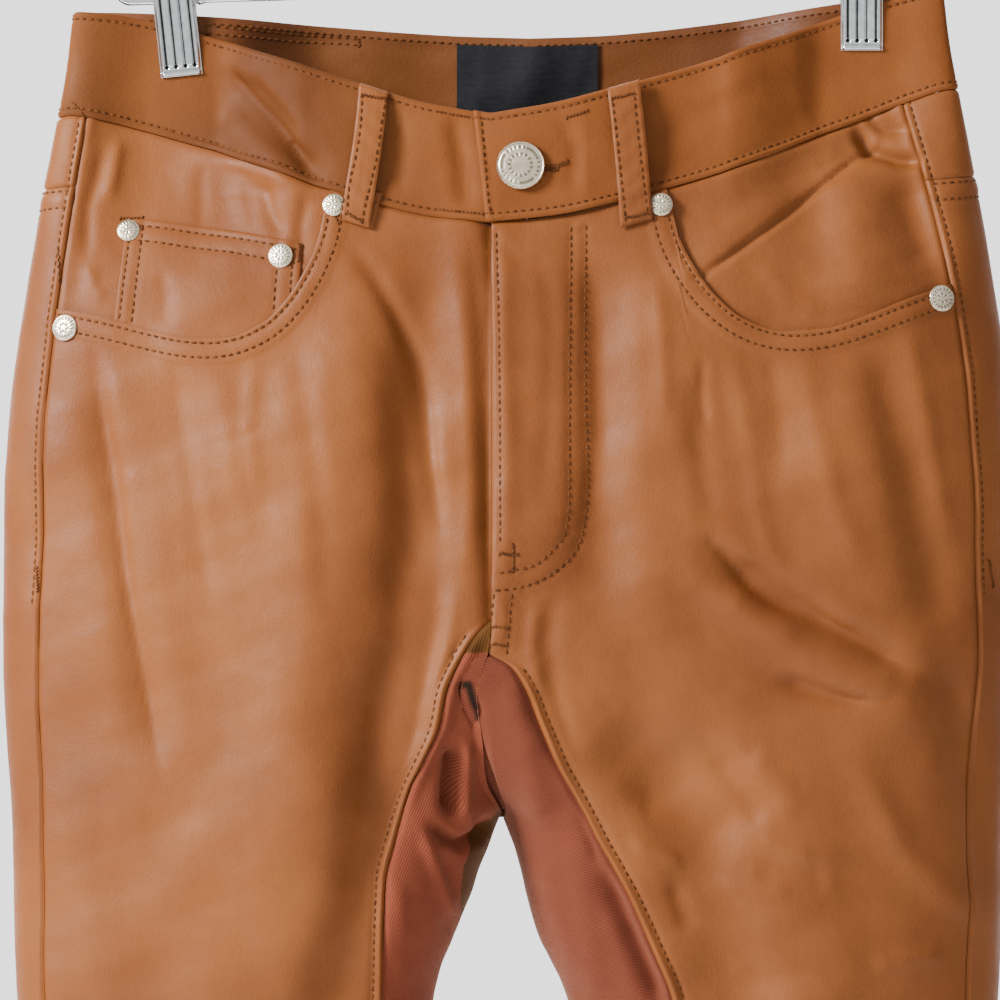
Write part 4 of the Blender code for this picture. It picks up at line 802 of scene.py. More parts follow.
# The waistband's inner face: the same leather, painted darker as painted shade.
band_inside_painted_shade = make_leather("camel_leather_band_painted_shade", *toned(0.62, CAMEL))
leather_inside = make_leather("camel_leather_back", *CAMEL_BACK, rough=(0.62, 0.8), grain=0.6)
# The waistband's outer face, painted darker on the front of the wearer's right side as painted shade.
waist_leather_painted_shade = make_leather("camel_leather_waist_painted_shade", *toned(0.92, CAMEL), rough=(0.6, 0.76), shine=0.13,
                             painted_shade=0.58)
twill_left = make_twill("rust_twill_cross", CROSS, *RUST, pitch=1.15)
# The seam allowance's twill, with the same painted shade at the crotch.
seam_twill_painted_shade = make_twill("rust_twill_seam_painted_shade", CROSS, *RUST, pitch=1.15, shade=SHADE)
# The twill of the wearer's right inner leg: the same twill painted lighter, as painted light, carrying the
# crotch marks' painted shade too.
right_twill_painted_light_and_shade = make_twill("rust_twill_upright_painted_light_and_shade", UPRIGHT, *toned(1.4, RUST), pitch=1.3, shade=SHADE)
thread = make_thread("rust_thread", (0.105, 0.034, 0.0070), (0.046, 0.0125, 0.0024))
gold = make_metal("pale_gold", (0.80, 0.70, 0.54), (0.60, 0.50, 0.36), (0.24, 0.42), 0.03)
gold_dark = make_metal("pale_gold_recess", (0.30, 0.25, 0.18), (0.18, 0.15, 0.10), (0.35, 0.55), 0.03)
chrome = make_metal("chrome_plate", (0.80, 0.82, 0.83), (0.58, 0.60, 0.62), (0.06, 0.16), 0.004)
# Dark metal painted into the jaws' grooves and holes, as painted shade.
groove_painted_shade = make_metal("painted_shade_plate", (0.03, 0.03, 0.03), (0.015, 0.015, 0.015), (0.5, 0.7), 0.02)


# ---- Mesh pieces --------------------------------------------------------------------------------
def place_item(name, data):
    """A new object in the scene."""
    item = bpy.data.objects.new(name, data)
    bpy.context.scene.collection.objects.link(item)
    return item


def paint(mesh, faces, number):
    """Gives some of a mesh's faces its material of that number, and the rest the first one."""
    index = np.zeros(len(mesh.polygons), dtype=np.int32)
    index[faces] = number
    mesh.polygons.foreach_set("material_index", index)


def add_piece(name, points, faces, materials, nodes=(), inner_from=None, sharp=None, uv=None):
    """A piece from points in millimetres. Faces from inner_from on take the second material."""
    mesh = bpy.data.meshes.new(name)
    mesh.from_pydata(np.asarray(points) * MM, [], [tuple(int(n) for n in face) for face in faces])
    for material in materials:
        mesh.materials.append(material)
    if inner_from is not None:
        paint(mesh, slice(inner_from, None), 1)
    if uv is not None:
        corners = np.concatenate([np.asarray(face) for face in faces])
        mesh.uv_layers.new(name="weave").data.foreach_set("uv", uv[corners].ravel())
    mesh.shade_smooth()
    if sharp is not None:
        mesh.set_sharp_from_angle(angle=math.radians(sharp))
    mesh.update()
    item = place_item(name, mesh)
    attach(item, "root")
    for node in nodes:
        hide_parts(node)
    return item


CLOTH_POINTS, CLOTH_FACES = [], []


def slab(name, outer, inner, outward, materials, nodes=(), uv=None, sharp=55.0):
    """A closed piece between two grids of points. outward points away from the inner one."""
    height, width = outer.shape[:2]
    a = (np.arange(height - 1)[:, None] * width + np.arange(width - 1)).ravel()
    quads = np.stack([a, a + 1, a + width + 1, a + width], 1)
    flat = outer.reshape(-1, 3)
    facing = np.cross(flat[quads[:, 2]] - flat[quads[:, 0]], flat[quads[:, 3]] - flat[quads[:, 1]])
    turned = np.sum(facing * outward.reshape(-1, 3)[quads[:, 0]]) < 0.0
    inside = height * width
    rim = list(range(width)) + [i * width + width - 1 for i in range(1, height)]
    rim += [(height - 1) * width + j for j in range(width - 2, -1, -1)]
    rim += [i * width for i in range(height - 2, 0, -1)]
    rim = np.array(rim)
    after = np.roll(rim, -1)
    edge = np.stack([rim, rim + inside, after + inside, after], 1)
    if turned:
        quads, edge = quads[:, ::-1], edge[:, ::-1]
    points = np.concatenate([flat, inner.reshape(-1, 3)])
    faces = np.concatenate([quads, edge, quads[:, ::-1] + inside])
    both = None if uv is None else np.concatenate([uv.reshape(-1, 2)] * 2)
    piece = add_piece(name, points, faces, materials, nodes, len(quads) + len(edge), sharp, both)
    return piece, points, faces


def shell(name, points, normals, lift, thick, materials, nodes=(), uv=None):
    """A piece of cloth from a grid of points, lifted along the normals."""
    lift = np.broadcast_to(lift, points.shape[:2])
    outer = points + normals * lift[..., None]
    inner = points + normals * (lift - thick)[..., None]
    piece, corners, faces = slab(name, outer, inner, normals, materials, nodes, uv)
    offset = sum(len(part) for part in CLOTH_POINTS)
    CLOTH_POINTS.append(corners)
    CLOTH_FACES.append(faces + offset)
    return piece


def leather_panel(kind, node, side, points, normals, lift, thick=LEATHER):
    """One side's piece of leather. kind is in its name, and node in that of the solid it replaces."""
    shell(f"jeans_{kind}_{SIDE_NAME[side]}", points, normals, lift, thick, (leather, leather_inside),
          [f"{node}_{SIDE_NAME[side]}"])


def edge_shape(gap, dip, reach):
    """Rounding of a seam's edge: the cloth turns down into the seam."""
    return -dip * bump(gap, reach)


def row_shape(gap, row, deep=0.38, wide=1.15):
    """The dent of a row of stitches."""
    return -deep * bump(gap - row, wide)


# ---- Cloth panels -------------------------------------------------------------------------------
GAP = 0.08                   # from a seam line to the cloth's edge
CLOSED = 0.03                # the same at centre back, where light would show through
FOLD_STRENGTH = 1.35


def hem_shape(drop):
    """The doubled hem and its row of stitches."""
    to_hem = HEM - drop
    return (0.45 * (1.0 - smooth_step(12.0, 14.0, to_hem)) + row_shape(to_hem, HEM_ROW)
            - 0.4 * bump(to_hem, 0.7))


def detail(points):
    """Height of the photo's folds and of faint waves at points of the cloth."""
    u, v = to_px(points)
    stand = np.minimum(1.0, np.abs(points[..., 1]) / 8.0)
    ahead = folds(u, v, FOLDS)
    behind = folds(u, v, BACK_FOLDS)
    both = folds(u, v, LEG_FOLDS)
    height = (np.where(points[..., 1] < 0.0, ahead, behind) + both) * stand * FOLD_STRENGTH
    height += (ripple(u, v, 7, 150.0, 0.75) + ripple(u, v, 3, 64.0, 0.26)
               + ripple(u, v, 5, 27.0, 0.05)) * stand
    return height


def top_of_front(side, share):
    """Drop of a front's upper edge, the waist seam and then the pocket mouth, and the distance across."""
    across = share * FRONT_SPAN
    for _ in range(10):
        top = np.where(across < SCOOP[0][0], waist_seam[FRONT](across), scoop(across))
        across = share * panel_reach(side, top)
    return top, across


# Rows of stitches, in pixels of the photo.
FLY_ROWS = (
    ((571, 226), (569, 380), (569, 500), (567, 531), (554, 550), (535, 566), (514, 570), (497, 573)),
    ((586, 224), (584, 380), (588, 472), (586, 520), (577, 552), (554, 573), (535, 583), (512, 589),
     (494, 590)),
)
CROTCH_ROWS_PX = (((494, 592), (491, 622), (490, 650)), ((512, 592), (509, 620), (506, 655)))
FLY_EDGE_ROW = ((496, 232), (499, 330), (500, 440), (500, 543))
FLY_SHORT_ROW = ((513, 541), (513, 572))


def make_front(side):
    """A front: the fly's edge or under-edge, the scooped pocket mouth, seams and hem."""
    share = stations((0, 3, 0.75), (3, 42, 1.5), (42, 66, 2.2), (66, 92, 1.2), (92, 176, 2.3),
                     (176, 187, 1.4), (187, FRONT_SPAN, 0.6)) / FRONT_SPAN
    top, top_across = top_of_front(side, share)
    tuck, level = 12.0, 215.0
    rows = [top + step for step in stations((0, 3, 0.6), (3, tuck, 1.1))]
    rows += [mix(top + tuck, level, t) for t in stations((0, 1, 1 / 46))[1:]]
    below = stations((level, 302, 1.6), (302, 430, 2.5), (430, 1040, 8), (1040, HEM, 1.6))[1:]
    drop = np.array(rows + [np.full(len(share), d) for d in below])
    inner = front_inner(side, drop) + GAP
    outer = panel_reach(side, drop) - GAP
    across = mix(inner, outer, share)
    points, normals = cloth_at(side, FRONT, drop, across)
    cut = top_across > SCOOP[0][0] - 0.5
    waist = np.stack([top_across[~cut], top[~cut]], 1)
    mouth = np.stack([top_across[cut], top[cut]], 1)
    to_waist = line_reach(across, drop, waist)[0]
    to_mouth = line_reach(across, drop, mouth)[0]
    to_side, to_inner = outer - across, across - inner
    lift = detail(points)
    lift += edge_shape(to_waist, 1.0, 1.0) + edge_shape(to_side, 0.9, 0.9)
    lift += 0.75 * (1.0 - smooth_step(8.8, 11.5, to_mouth)) - 0.45 * bump(to_mouth, 0.7)
    lift += row_shape(to_mouth, 2.4) + row_shape(to_mouth, 8.4, 0.34)
    u, v = to_px(points)
    crotch = smooth_step(FRONT_CROTCH[side], FRONT_CROTCH[side] + 14.0, drop)
    lift += crotch * (1.15 * bump(to_inner - 1.8, 1.5) - 0.8 * bump(to_inner, 0.8)
                      + row_shape(to_inner, 4.6, 0.55, 1.3))
    if side == LEFT:
        ahead = 1.0 - smooth_step(FRONT_CROTCH[LEFT] - 6.0, FRONT_CROTCH[LEFT] + 2.0, drop)
        lift += ahead * (1.0 - smooth_step(4.0, 15.0, across))
        lift -= ahead * 0.55 * bump(to_inner, 0.7)
        lift += 0.45 * (1.0 - smooth_step(26.0, 34.0, across)) * (1.0 - smooth_step(225.0, 250.0, drop))
        for row in FLY_ROWS + CROTCH_ROWS_PX + (FLY_EDGE_ROW, FLY_SHORT_ROW):
            lift -= 0.4 * bump(line_reach(u, v, row)[0], 2.7)
        for row in FLY_ROWS:
            lift += 0.14 * bump(line_reach(u, v, row)[0], 6.5) * np.sin(v / 2.6 + u / 4.1)
    else:
        under_fly = 1.6 * bump(across, 7.0) + 1.8 * bump(across, 3.4)
        lift -= under_fly * (1.0 - crotch) * smooth_step(70.0, 95.0, drop)
    lift += hem_shape(drop)
    leather_panel("front", "front", side, points, normals, lift, LEATHER - 0.35 * bump(to_mouth, 9.0))


def make_facing(side):
    """The pocket layer seen above the scoop, joined to the waist seam and the outseam."""
    fine = 0.62 if side == LEFT else 1.0
    level_reach = panel_reach(side, FACING_LEVEL)
    stops = stations((66, 84, 2.2 * fine), (84, 166, 1.8 * fine), (166, level_reach - GAP, 1.4 * fine))
    steps = stations((0, 1, fine / 44))
    top = np.full(len(stops), 60.0)
    for _ in range(8):
        top = waist_seam[FRONT](stops * panel_reach(side, top) / level_reach) + GAP
    foot = np.maximum(scoop(stops), top + 5.0) + 8.0
    drop = mix(top, foot, steps[:, None])
    across = stops * (panel_reach(side, drop) - GAP) / (level_reach - GAP)
    points, normals = cloth_at(side, FRONT, drop, across)
    to_side = panel_reach(side, drop) - across
    lift = -1.9 + 1.2 * bump(drop - top, 5.0) + 1.3 * bump(to_side, 4.5)
    lift -= 0.9 * bump(drop - top, 1.0) + 0.8 * bump(to_side, 0.9)
    leather_panel("facing", "pocket_facing", side, points, normals, lift + detail(points), 1.0)


def coin_line(across):
    """Drop of the coin pocket's top edge."""
    return mix(*COIN_TOP, (across - COIN_SIDES[0]) / (COIN_SIDES[1] - COIN_SIDES[0]))


def coin_across(across, drop):
    """Distance from the centre of a place on the coin pocket, given at the facing's level."""
    return across * panel_reach(RIGHT, drop) / panel_reach(RIGHT, FACING_LEVEL)


def make_coin_pocket():
    """The coin pocket: doubled rows at its mouth and sides, its foot under the front."""
    low, high = COIN_SIDES
    stops = stations((low, 87, 0.6), (87, 101, 1.4), (101, 156, 2.0), (156, 162.5, 1.2), (162.5, high, 0.6))
    steps = stations((0, 0.08, 0.012), (0.08, 0.4, 0.022), (0.4, 1, 0.035))
    top = coin_line(stops)
    foot = np.maximum(scoop(stops) + 5.0, top + 6.0)
    drop = mix(top, foot, steps[:, None])
    points, normals = cloth_at(RIGHT, FRONT, drop, coin_across(stops, drop))
    lift = -0.5 + detail(points)
    for gap, rows in ((drop - top, (3.2, 9.5)), (high - stops, (1.9, 7.2)), (stops - low, (4.2, 11.0))):
        lift = lift - 0.5 * bump(gap, 0.6)
        for row in rows:
            lift = lift + row_shape(gap, row, 0.34)
    shell("jeans_coin_pocket", points, normals, lift, 1.1, (leather, leather), ["coin_pocket"])


def back_place(side, drop, share):
    """Place round the section at a share of the way from the outseam to the back's inner edge."""
    start = around_of(drop, panel_reach(side, drop) + GAP)
    end = 2.0 - around_of(drop, np.maximum(back_inseam(drop), leg_start(drop)) + CLOSED)
    return mix(start, end, share)


BACK_SHARES = stations((0, 0.03, 0.004), (0.03, 0.08, 0.007), (0.08, 0.26, 0.011), (0.26, 0.96, 0.015),
                       (0.96, 1, 0.005))


def settle(side, share, target):
    """Drops at which the back's columns meet a line that is given round the section."""
    drop = np.full(np.shape(share), 90.0)
    for _ in range(8):
        drop = target(back_place(side, drop, share))
    return drop


def outseam_lift(side, drop, place):
    """Turned edge and topstitching of the outseam, on the part that wraps to the front."""
    gap = reach_of(drop, np.minimum(place, 1.0)) - panel_reach(side, drop)
    stitched = 1.0 - smooth_step(246.0, 256.0, drop)
    edge = 0.35 * bump(gap - 1.6, 1.3) - 0.9 * bump(gap, 0.9) + stitched * row_shape(gap, 3.1)
    return np.where(place <= 1.0, edge, 0.0)


def make_yoke(side):
    """The yoke between the waistband and the back, wrapped round to the outseam."""
    share = BACK_SHARES
    rows = []
    for step in stations((0, 0.06, 0.02), (0.06, 0.94, 0.04), (0.94, 1, 0.02)):
        rows.append(settle(side, share, lambda place: mix(
            edge_drop(waist_seam, place) + GAP, yoke_drop(side, place) - GAP, step)))
    drop = np.array(rows)
    place = back_place(side, drop, share)
    points, normals = frame_of(skin, side, drop, place)
    to_top, to_foot = drop - edge_drop(waist_seam, place), yoke_drop(side, place) - drop
    lift = (detail(points) + edge_shape(to_top, 1.0, 1.0) + edge_shape(to_foot, 0.7, 0.8)
            + outseam_lift(side, drop, place))
    lift -= np.where(place > 1.5, 0.7 * bump(reach_of(drop, place), 0.9), 0.0)
    leather_panel("yoke", "yoke", side, points, normals, lift)


def make_back(side):
    """A back, from the yoke to the hem, wrapped round to the outseam."""
    share = BACK_SHARES
    top = settle(side, share, lambda place: yoke_drop(side, place) + GAP)
    rows = [top + step for step in stations((0, 3, 0.7), (3, 12, 1.3))]
    rows += [mix(top + 12.0, 205.0, t) for t in stations((0, 1, 1 / 24))[1:]]
    below = stations((205, 430, 3.4), (430, 1040, 9), (1040, HEM, 2))[1:]
    drop = np.array(rows + [np.full(len(share), d) for d in below])
    place = back_place(side, drop, share)
    points, normals = frame_of(skin, side, drop, place)
    to_top = drop - yoke_drop(side, place)
    seam = reach_of(drop, place) - np.maximum(back_inseam(drop), leg_start(drop))
    seam = np.where(place > 1.2, seam, 99.0)
    lift = detail(points) + outseam_lift(side, drop, place)
    lift += (0.35 * bump(to_top - 5.0, 4.5) - 0.8 * bump(to_top, 0.8) + row_shape(to_top, 1.9)
             + row_shape(to_top, 8.9))
    lift += -0.8 * bump(seam, 0.9)
    upper = 1.0 - smooth_step(BACK_CROTCH - 8.0, BACK_CROTCH + 4.0, drop)
    if side == LEFT:
        lift += upper * (0.4 * bump(seam - 4.5, 5.0) + row_shape(seam, 2.6) + row_shape(seam, 8.8))
    lift += hem_shape(drop)
    leather_panel("back", "back", side, points, normals, lift)


# Marks at the crotch, in pixels of the photo: leather painted in its shaded tones, and the painted shadow of
# a hole.
UNMARKED = -9.0
MARK_SOFTNESS = 4.0
TWILL_TOP = 652.0            # row below which the twill starts
PAINTED_SHADE_STRIP_SIDE, PAINTED_SHADE_STRIP_FOOT = 461.0, 925.0
PAINTED_SHADE_STRIP_EDGE = ((450, 925), (460, 905), (463, 868), (475, 842), (500, 812), (512, 806))
HOLE_SHADOW_LINE = ((465, 684), (469, 684), (471, 692), (474, 702), (478, 710), (480, 717))


def tip_at(v):
    """Above 0 where the tip of the panel is painted as leather in its shaded tones."""
    return (TWILL_TOP - v) / MARK_SOFTNESS


def hole_shadow_at(u, v):
    """Above 0 where the hole's dark is painted, as painted shadow."""
    return (3.4 - line_reach(u, v, HOLE_SHADOW_LINE)[0]) / 3.0


def mark(piece, tip, hole):
    """Marks the leather at the crotch, painted in its shaded tones, and the painted shadow of the hole beside
    it, for the twill's material.
    """
    marks = np.clip(np.stack([tip.ravel(), hole.ravel()], 1), UNMARKED, -UNMARKED)
    corners = np.zeros(len(piece.data.loops), dtype=np.int32)
    piece.data.loops.foreach_get("vertex_index", corners)
    values = np.full((len(piece.data.vertices), 2), UNMARKED)
    values[:len(marks)] = marks
    layer = piece.data.uv_layers.new(name="edge")
    layer.data.foreach_set("uv", values[corners].astype(np.float32).ravel())


def make_inner_panel(side):
    """The twill panel of the inner leg, from the crotch's centre line to the hem."""
    if side == LEFT:
        knots = ((-1.0, 1.0, 1.0), (0.0, 0.0, 0.0), (1.0, 1.0, 1.0))
    else:
        knots = ((-1.0, 1.0, 1.12), (-0.8, 0.8, 1.0), (-0.68, 0.68, 0.75), (-0.46, 0.46, 0.5),
                 (-0.24, 0.24, 0.25), (0.0, 0.0, 0.0), (1.0, 1.0, 1.0))
    way = stations((-1, -0.97, 0.006), (-0.97, -0.85, 0.012), (-0.85, 0.1, 0.018), (0.1, 0.85, 0.035),
                   (0.85, 1, 0.02))
    keys, shares, lines = np.array(knots).T
    share, line = np.interp(way, keys, shares), np.interp(way, keys, lines)
    ahead = way < 0.0
    face = np.where(ahead, FRONT, BACK)
    top = mix(BACK_CROTCH + 0.5, SADDLE, np.cos(0.5 * math.pi * np.minimum(line, 1.0)))
    tip_share = np.clip((line - 1.0) / 0.12, 0.0, 1.0)
    top = np.where(line > 1.0, mix(top, FRONT_CROTCH[side] + 0.5, tip_share), top)
    drops, turns, growth = [], [], []
    front_rows, back_rows = (CROTCH_ROWS[side, each] + LEG_ROWS for each in (FRONT, BACK))
    last = len(front_rows) - 1
    counts, firsts = np.arange(last + 1), np.where(ahead, front_rows[0], back_rows[0])
    for n in stations((0, 1, 0.1), (1, last, 0.13)):
        levels = np.where(ahead, np.interp(n, counts, front_rows), np.interp(n, counts, back_rows))
        grown = mix(n / last, (levels - firsts) / (MEET - firsts), share)
        drop = np.where(share > 0.999, levels, mix(top, MEET, grown))
        turn = share * panel_seam(side, drop, face)
        inner = mix(0.5 * math.pi * np.minimum(line, 1.0), turn, grown ** 0.6)
        turn = mix(inner, turn, smooth_step(mix(0.985, 0.72, min(1.0, 0.5 * n)), 1.0, share))
        drops.append(drop)
        turns.append(np.maximum(turn, centre_turn(drop)))
        growth.append(grown)
    for level in stations((MEET, 430, 2.0), (430, 1040, 10), (1040, HEM, 2.5))[1:]:
        drop = np.full(len(way), level)
        drops.append(drop)
        turns.append(np.maximum(share * panel_seam(side, drop, face), centre_turn(drop)))
        growth.append(np.ones(len(way)))
    drop, turn = np.array(drops), np.array(turns)
    free = smooth_step(0.0, 0.10, np.array(growth))
    points, normals = frame_of(inner_skin, side, drop, -face * turn)
    u, v = to_px(points)
    shown = np.where(points[..., 1] < 4.0, 1.0, 0.0) * (1.0 - smooth_step(1000.0, 1100.0, v))
    to_seam = np.abs(panel_seam(side, drop, face) - turn) * inner_radius(drop)
    lift = -1.2 * bump(to_seam, 1.6) + ripple(u, v, 8, 30.0, 0.14) * free
    lift = lift + folds(u, v, TWILL_FOLDS) * free * shown * (1.0 - bump(to_seam, 3.0))
    if side == LEFT:
        middle = smooth_step(0.0, 0.5, 1.0 - np.abs(way))
        lift = lift + 2.4 * free * middle * shown * (1.0 - smooth_step(330.0, 372.0, drop))
    else:
        fade = 1.0 - smooth_step(318.0, 350.0, drop)
        lift = lift - 2.4 * free * shown * fade * smooth_step(0.0, 8.0, to_seam)
    to_hem = HEM - drop
    lift = lift + row_shape(to_hem, HEM_ROW) - 0.3 * bump(to_hem, 0.7)
    weave = np.stack([face * turn * inner_radius(drop), drop], -1) * MM
    cloth = twill_left if side == LEFT else right_twill_painted_light_and_shade
    piece = shell(f"jeans_inner_leg_{SIDE_NAME[side]}", points, normals, lift, TWILL, (cloth, cloth),
                  [f"inner_panel_{SIDE_NAME[side]}"], weave)
    if side == RIGHT:
        # The tip and a strip are painted as leather in its shaded tones, and the hole's shadow is painted:
        # painted shade.
        tip, hole = np.where(ahead, tip_at(v), UNMARKED), np.where(ahead, hole_shadow_at(u, v), UNMARKED)
        beside = np.minimum(v - np.interp(u, *np.array(PAINTED_SHADE_STRIP_EDGE, float).T), u - PAINTED_SHADE_STRIP_SIDE)
        strip = np.minimum(beside, PAINTED_SHADE_STRIP_FOOT - v) / MARK_SOFTNESS
        strip = np.minimum(strip, np.minimum(0.7 - face * turn, 1.4 - np.abs(turn)) * 4.0)
        mark(piece, np.maximum(tip, strip), hole)


def make_seam_allowance(face, first):
    """The narrow turned-in edge behind the crotch seam, on one face."""
    drop = stations((first, 346.0, 1.2))[:, None]
    across = stations((-7.0, 7.0, 0.8))
    centre = inner_skin(LEFT, drop, -face * turn_of(drop, np.full(drop.shape, GAP)))
    behind = 1.4 + 0.05 * np.abs(across) + 3.4 * (1.0 - smooth_step(262.0, 282.0, drop))
    points = centre + np.stack(np.broadcast_arrays(across, -face * behind, 0.0), -1)
    normals = np.broadcast_to((0.0, float(face), 0.0), points.shape)
    weave = np.stack(np.broadcast_arrays(across * MM, drop * MM), -1)
    piece = shell(f"jeans_crotch_seam_{FACE_NAME[face]}", points, normals, 0.0, 0.9,
                  (seam_twill_painted_shade, seam_twill_painted_shade), (), weave)
    u, v = to_px(points)
    # Its tip is painted as leather in its shaded tones, and on the front the hole's shadow is painted.
    mark(piece, tip_at(v), hole_shadow_at(u, v) if face == FRONT else np.full(u.shape, UNMARKED))


def panel_seam(side, drop, face):
    """Angle round the inner leg of the seam with the leather."""
    across = np.where(face < 0, front_inner(side, drop), back_inseam(drop))
    return turn_of(drop, np.maximum(across - GAP, GAP))


def centre_turn(drop):
    """The smallest angle that keeps the panel off the other leg."""
    return np.where(inner_edge(drop) < GAP, turn_of(drop, np.full(np.shape(drop), GAP)), 0.0)


LAP_END = (7.7, 2.2)         # how far the lap runs past the centre, at its top and foot
UNDER_LAP = 12.0


def make_waistband(side):
    """Half of the waistband, rounded at its edges, lapped and stitched at the front."""
    level = 20.0
    flank = around_of(level, stations((46, 150, 1.9)))
    back = 2.0 - around_of(level, stations((0, 150, 4.0)))
    middle = np.linspace(back[-1], flank[-1], 44)[1:-1]
    last = around_of(level, 38.0)
    lap = stations((0, 0.82, 0.05), (0.82, 1, 0.018))
    steps = stations((0, 0.06, 0.015), (0.06, 0.94, 0.036), (0.94, 1, 0.015))
    rows = []
    for step in steps:
        end = mix(*LAP_END, step) if side == LEFT else UNDER_LAP
        rows.append(np.concatenate([back, middle, flank[::-1], mix(last, -around_of(60.0, end), lap)]))
    place = np.array(rows)
    place[:, 0] = 2.0 - around_of(level, GAP)
    top, foot = edge_drop(band_top, place), edge_drop(waist_seam, place) - GAP
    drop = mix(top, foot, steps[:, None])
    points, normals = frame_of(skin, side, drop, place)
    to_top, to_foot = drop - top, foot - drop
    lift = detail(points) + row_shape(to_top, 3.0) + row_shape(to_foot, 3.1)
    lift += 0.35 * bump(to_foot - 1.5, 1.3) + 0.2 * bump(to_top - 1.4, 1.2)
    round_off = bump(to_top, 0.75) + 0.6 * bump(to_foot, 0.7)
    if side == LEFT:
        lift = lift + (BAND + 0.5) * (1.0 - smooth_step(0.08, 0.17, place))
        to_end = reach_of(drop, place) + mix(*LAP_END, steps)[:, None]
        to_end = np.where(place < 0.5, to_end, 99.0)
        lift = lift + row_shape(to_end, 3.3) + 0.2 * bump(to_end - 1.5, 1.2)
        round_off = round_off + bump(to_end, 0.75)
    round_off = np.minimum(1.0, round_off)
    # The inner face takes the leather painted darker, as painted shade.
    shell(f"jeans_waistband_{SIDE_NAME[side]}", points, normals, lift - 0.85 * round_off,
          BAND - 1.6 * round_off, (waist_leather_painted_shade, band_inside_painted_shade), [f"waistband_{SIDE_NAME[side]}"])


def cloth_tree():
    """The faces of all the cloth made so far, in millimetres."""
    points = np.concatenate(CLOTH_POINTS)
    faces = np.concatenate(CLOTH_FACES)
    return BVHTree.FromPolygons([tuple(point) for point in points],
                                [tuple(int(n) for n in face) for face in faces])


def cloth_height(tree, points, normals):
    """Height of the cloth over each point of a grid."""
    met = points.copy()
    for index in np.ndindex(points.shape[:2]):
        start, way = Vector(points[index] + normals[index] * 12.0), Vector(-normals[index])
        hit = tree.ray_cast(start, way, 17.0)[0]
        if hit is not None:
            met[index] = hit
    return np.einsum("ijk,ijk->ij", met - points, normals)


def make_belt_loop(tree, name, side, face, line):
    """A folded strip sewn down at both ends, slack between. The line gives its middle's path."""
    share = stations((0, 0.06, 0.02), (0.06, 0.94, 0.03), (0.94, 1, 0.02))[:, None]
    column = stations((-1, -0.8, 0.07), (-0.8, 0.8, 0.2), (0.8, 1, 0.07))
    middle = np.interp(share, np.linspace(0, 1, len(line)), line)
    across = middle + LOOP_HALF * column
    top = band_top[face](np.abs(across)) + 0.2
    drop = mix(top, waist_seam[face](np.abs(across)) + LOOP_PAST_SEAM, share)
    points, normals = cloth_at(side, face, drop, across)
    height = np.maximum(cloth_height(tree, points, normals), -1.0)
    for _ in range(3):
        height[1:-1] = np.maximum(height[1:-1], 0.5 * (height[:-2] + height[2:]))
    height = np.repeat(height.max(axis=1, keepdims=True), height.shape[1], 1) * 0.7 + height * 0.3
    slack = 2.0 * np.sin(math.pi * share) ** 0.6
    edge = LOOP_HALF * (1.0 - np.abs(column))
    ends = np.minimum(share, 1.0 - share) * 50.0
    round_off = np.minimum(1.0, bump(edge, 0.7) + bump(ends, 0.7))
    lift = (height + 0.3 + LOOP + slack - 0.65 * round_off - 0.32 * bump(edge - 1.9, 0.9)
            + 0.16 * bump(edge, 9.0))
    lift = lift + 0.12 * np.sin(share * 41.0 + column * 3.0)
    shell(f"jeans_loop_{name}", points, normals, lift, LOOP - 1.1 * round_off, (leather, leather),
          [f"belt_loop_{name}"])


def make_loop_end(tree):
    """The turned-under end of the front right loop, seen beside its foot."""
    column, share = stations((0, 1, 0.08)), stations((0, 1, 0.06))[:, None]
    u = mix(mix(364.0, 360.0, share), mix(396.0, 386.0, share), column)
    v = mix(mix(188.0, 193.0, column), mix(222.0, 229.0, column), share)
    x, z = from_px(u, v)
    drop = -z - HOOK_TO_WAIST
    points, normals = cloth_at(RIGHT, FRONT, drop, np.abs(x))
    height = cloth_height(tree, points, normals)
    rim = np.minimum(np.minimum(column, 1.0 - column) * 12.0, np.minimum(share, 1.0 - share) * 16.0)
    lift = np.maximum(height, -1.0) + 1.25 - 0.45 * bump(rim, 0.8)
    shell("jeans_loop_end", points, normals, lift, 1.1 - 0.7 * bump(rim, 0.8), (leather, leather))


def make_back_pocket(tree, side):
    """A five-sided patch pocket with a doubled hem, turned edges and two rows of stitches."""
    steps = stations((0, 1, 1 / 44))
    share, column = steps[:, None], mix(-1.0, 1.0, steps)
    across = POCKET_MIDDLE + column * mix(*POCKET_HALF, share)
    top, foot = mix(*POCKET_MOUTH, steps), POCKET_POINT - POCKET_RISE * np.abs(column)
    drop = mix(top, foot, share)
    points, normals = cloth_at(side, BACK, drop, across)
    rim = np.minimum(mix(*POCKET_HALF, share) * (1.0 - np.abs(column)), (foot - drop) * 0.93)
    lift = (cloth_height(tree, points, normals) + 0.5 + LEATHER + row_shape(rim, 2.2)
            + row_shape(rim, 8.4) - 0.5 * bump(rim, 0.8))
    top_gap = drop - top
    lift += (0.5 * (1.0 - smooth_step(15.0, 17.0, top_gap)) + row_shape(top_gap, 14.5)
             - 0.4 * bump(top_gap, 0.8))
    lift += 1.1 * bump(top_gap, 26.0) * np.cos(0.5 * math.pi * column)
    leather_panel("back_pocket", "back_pocket", side, points, normals, lift)


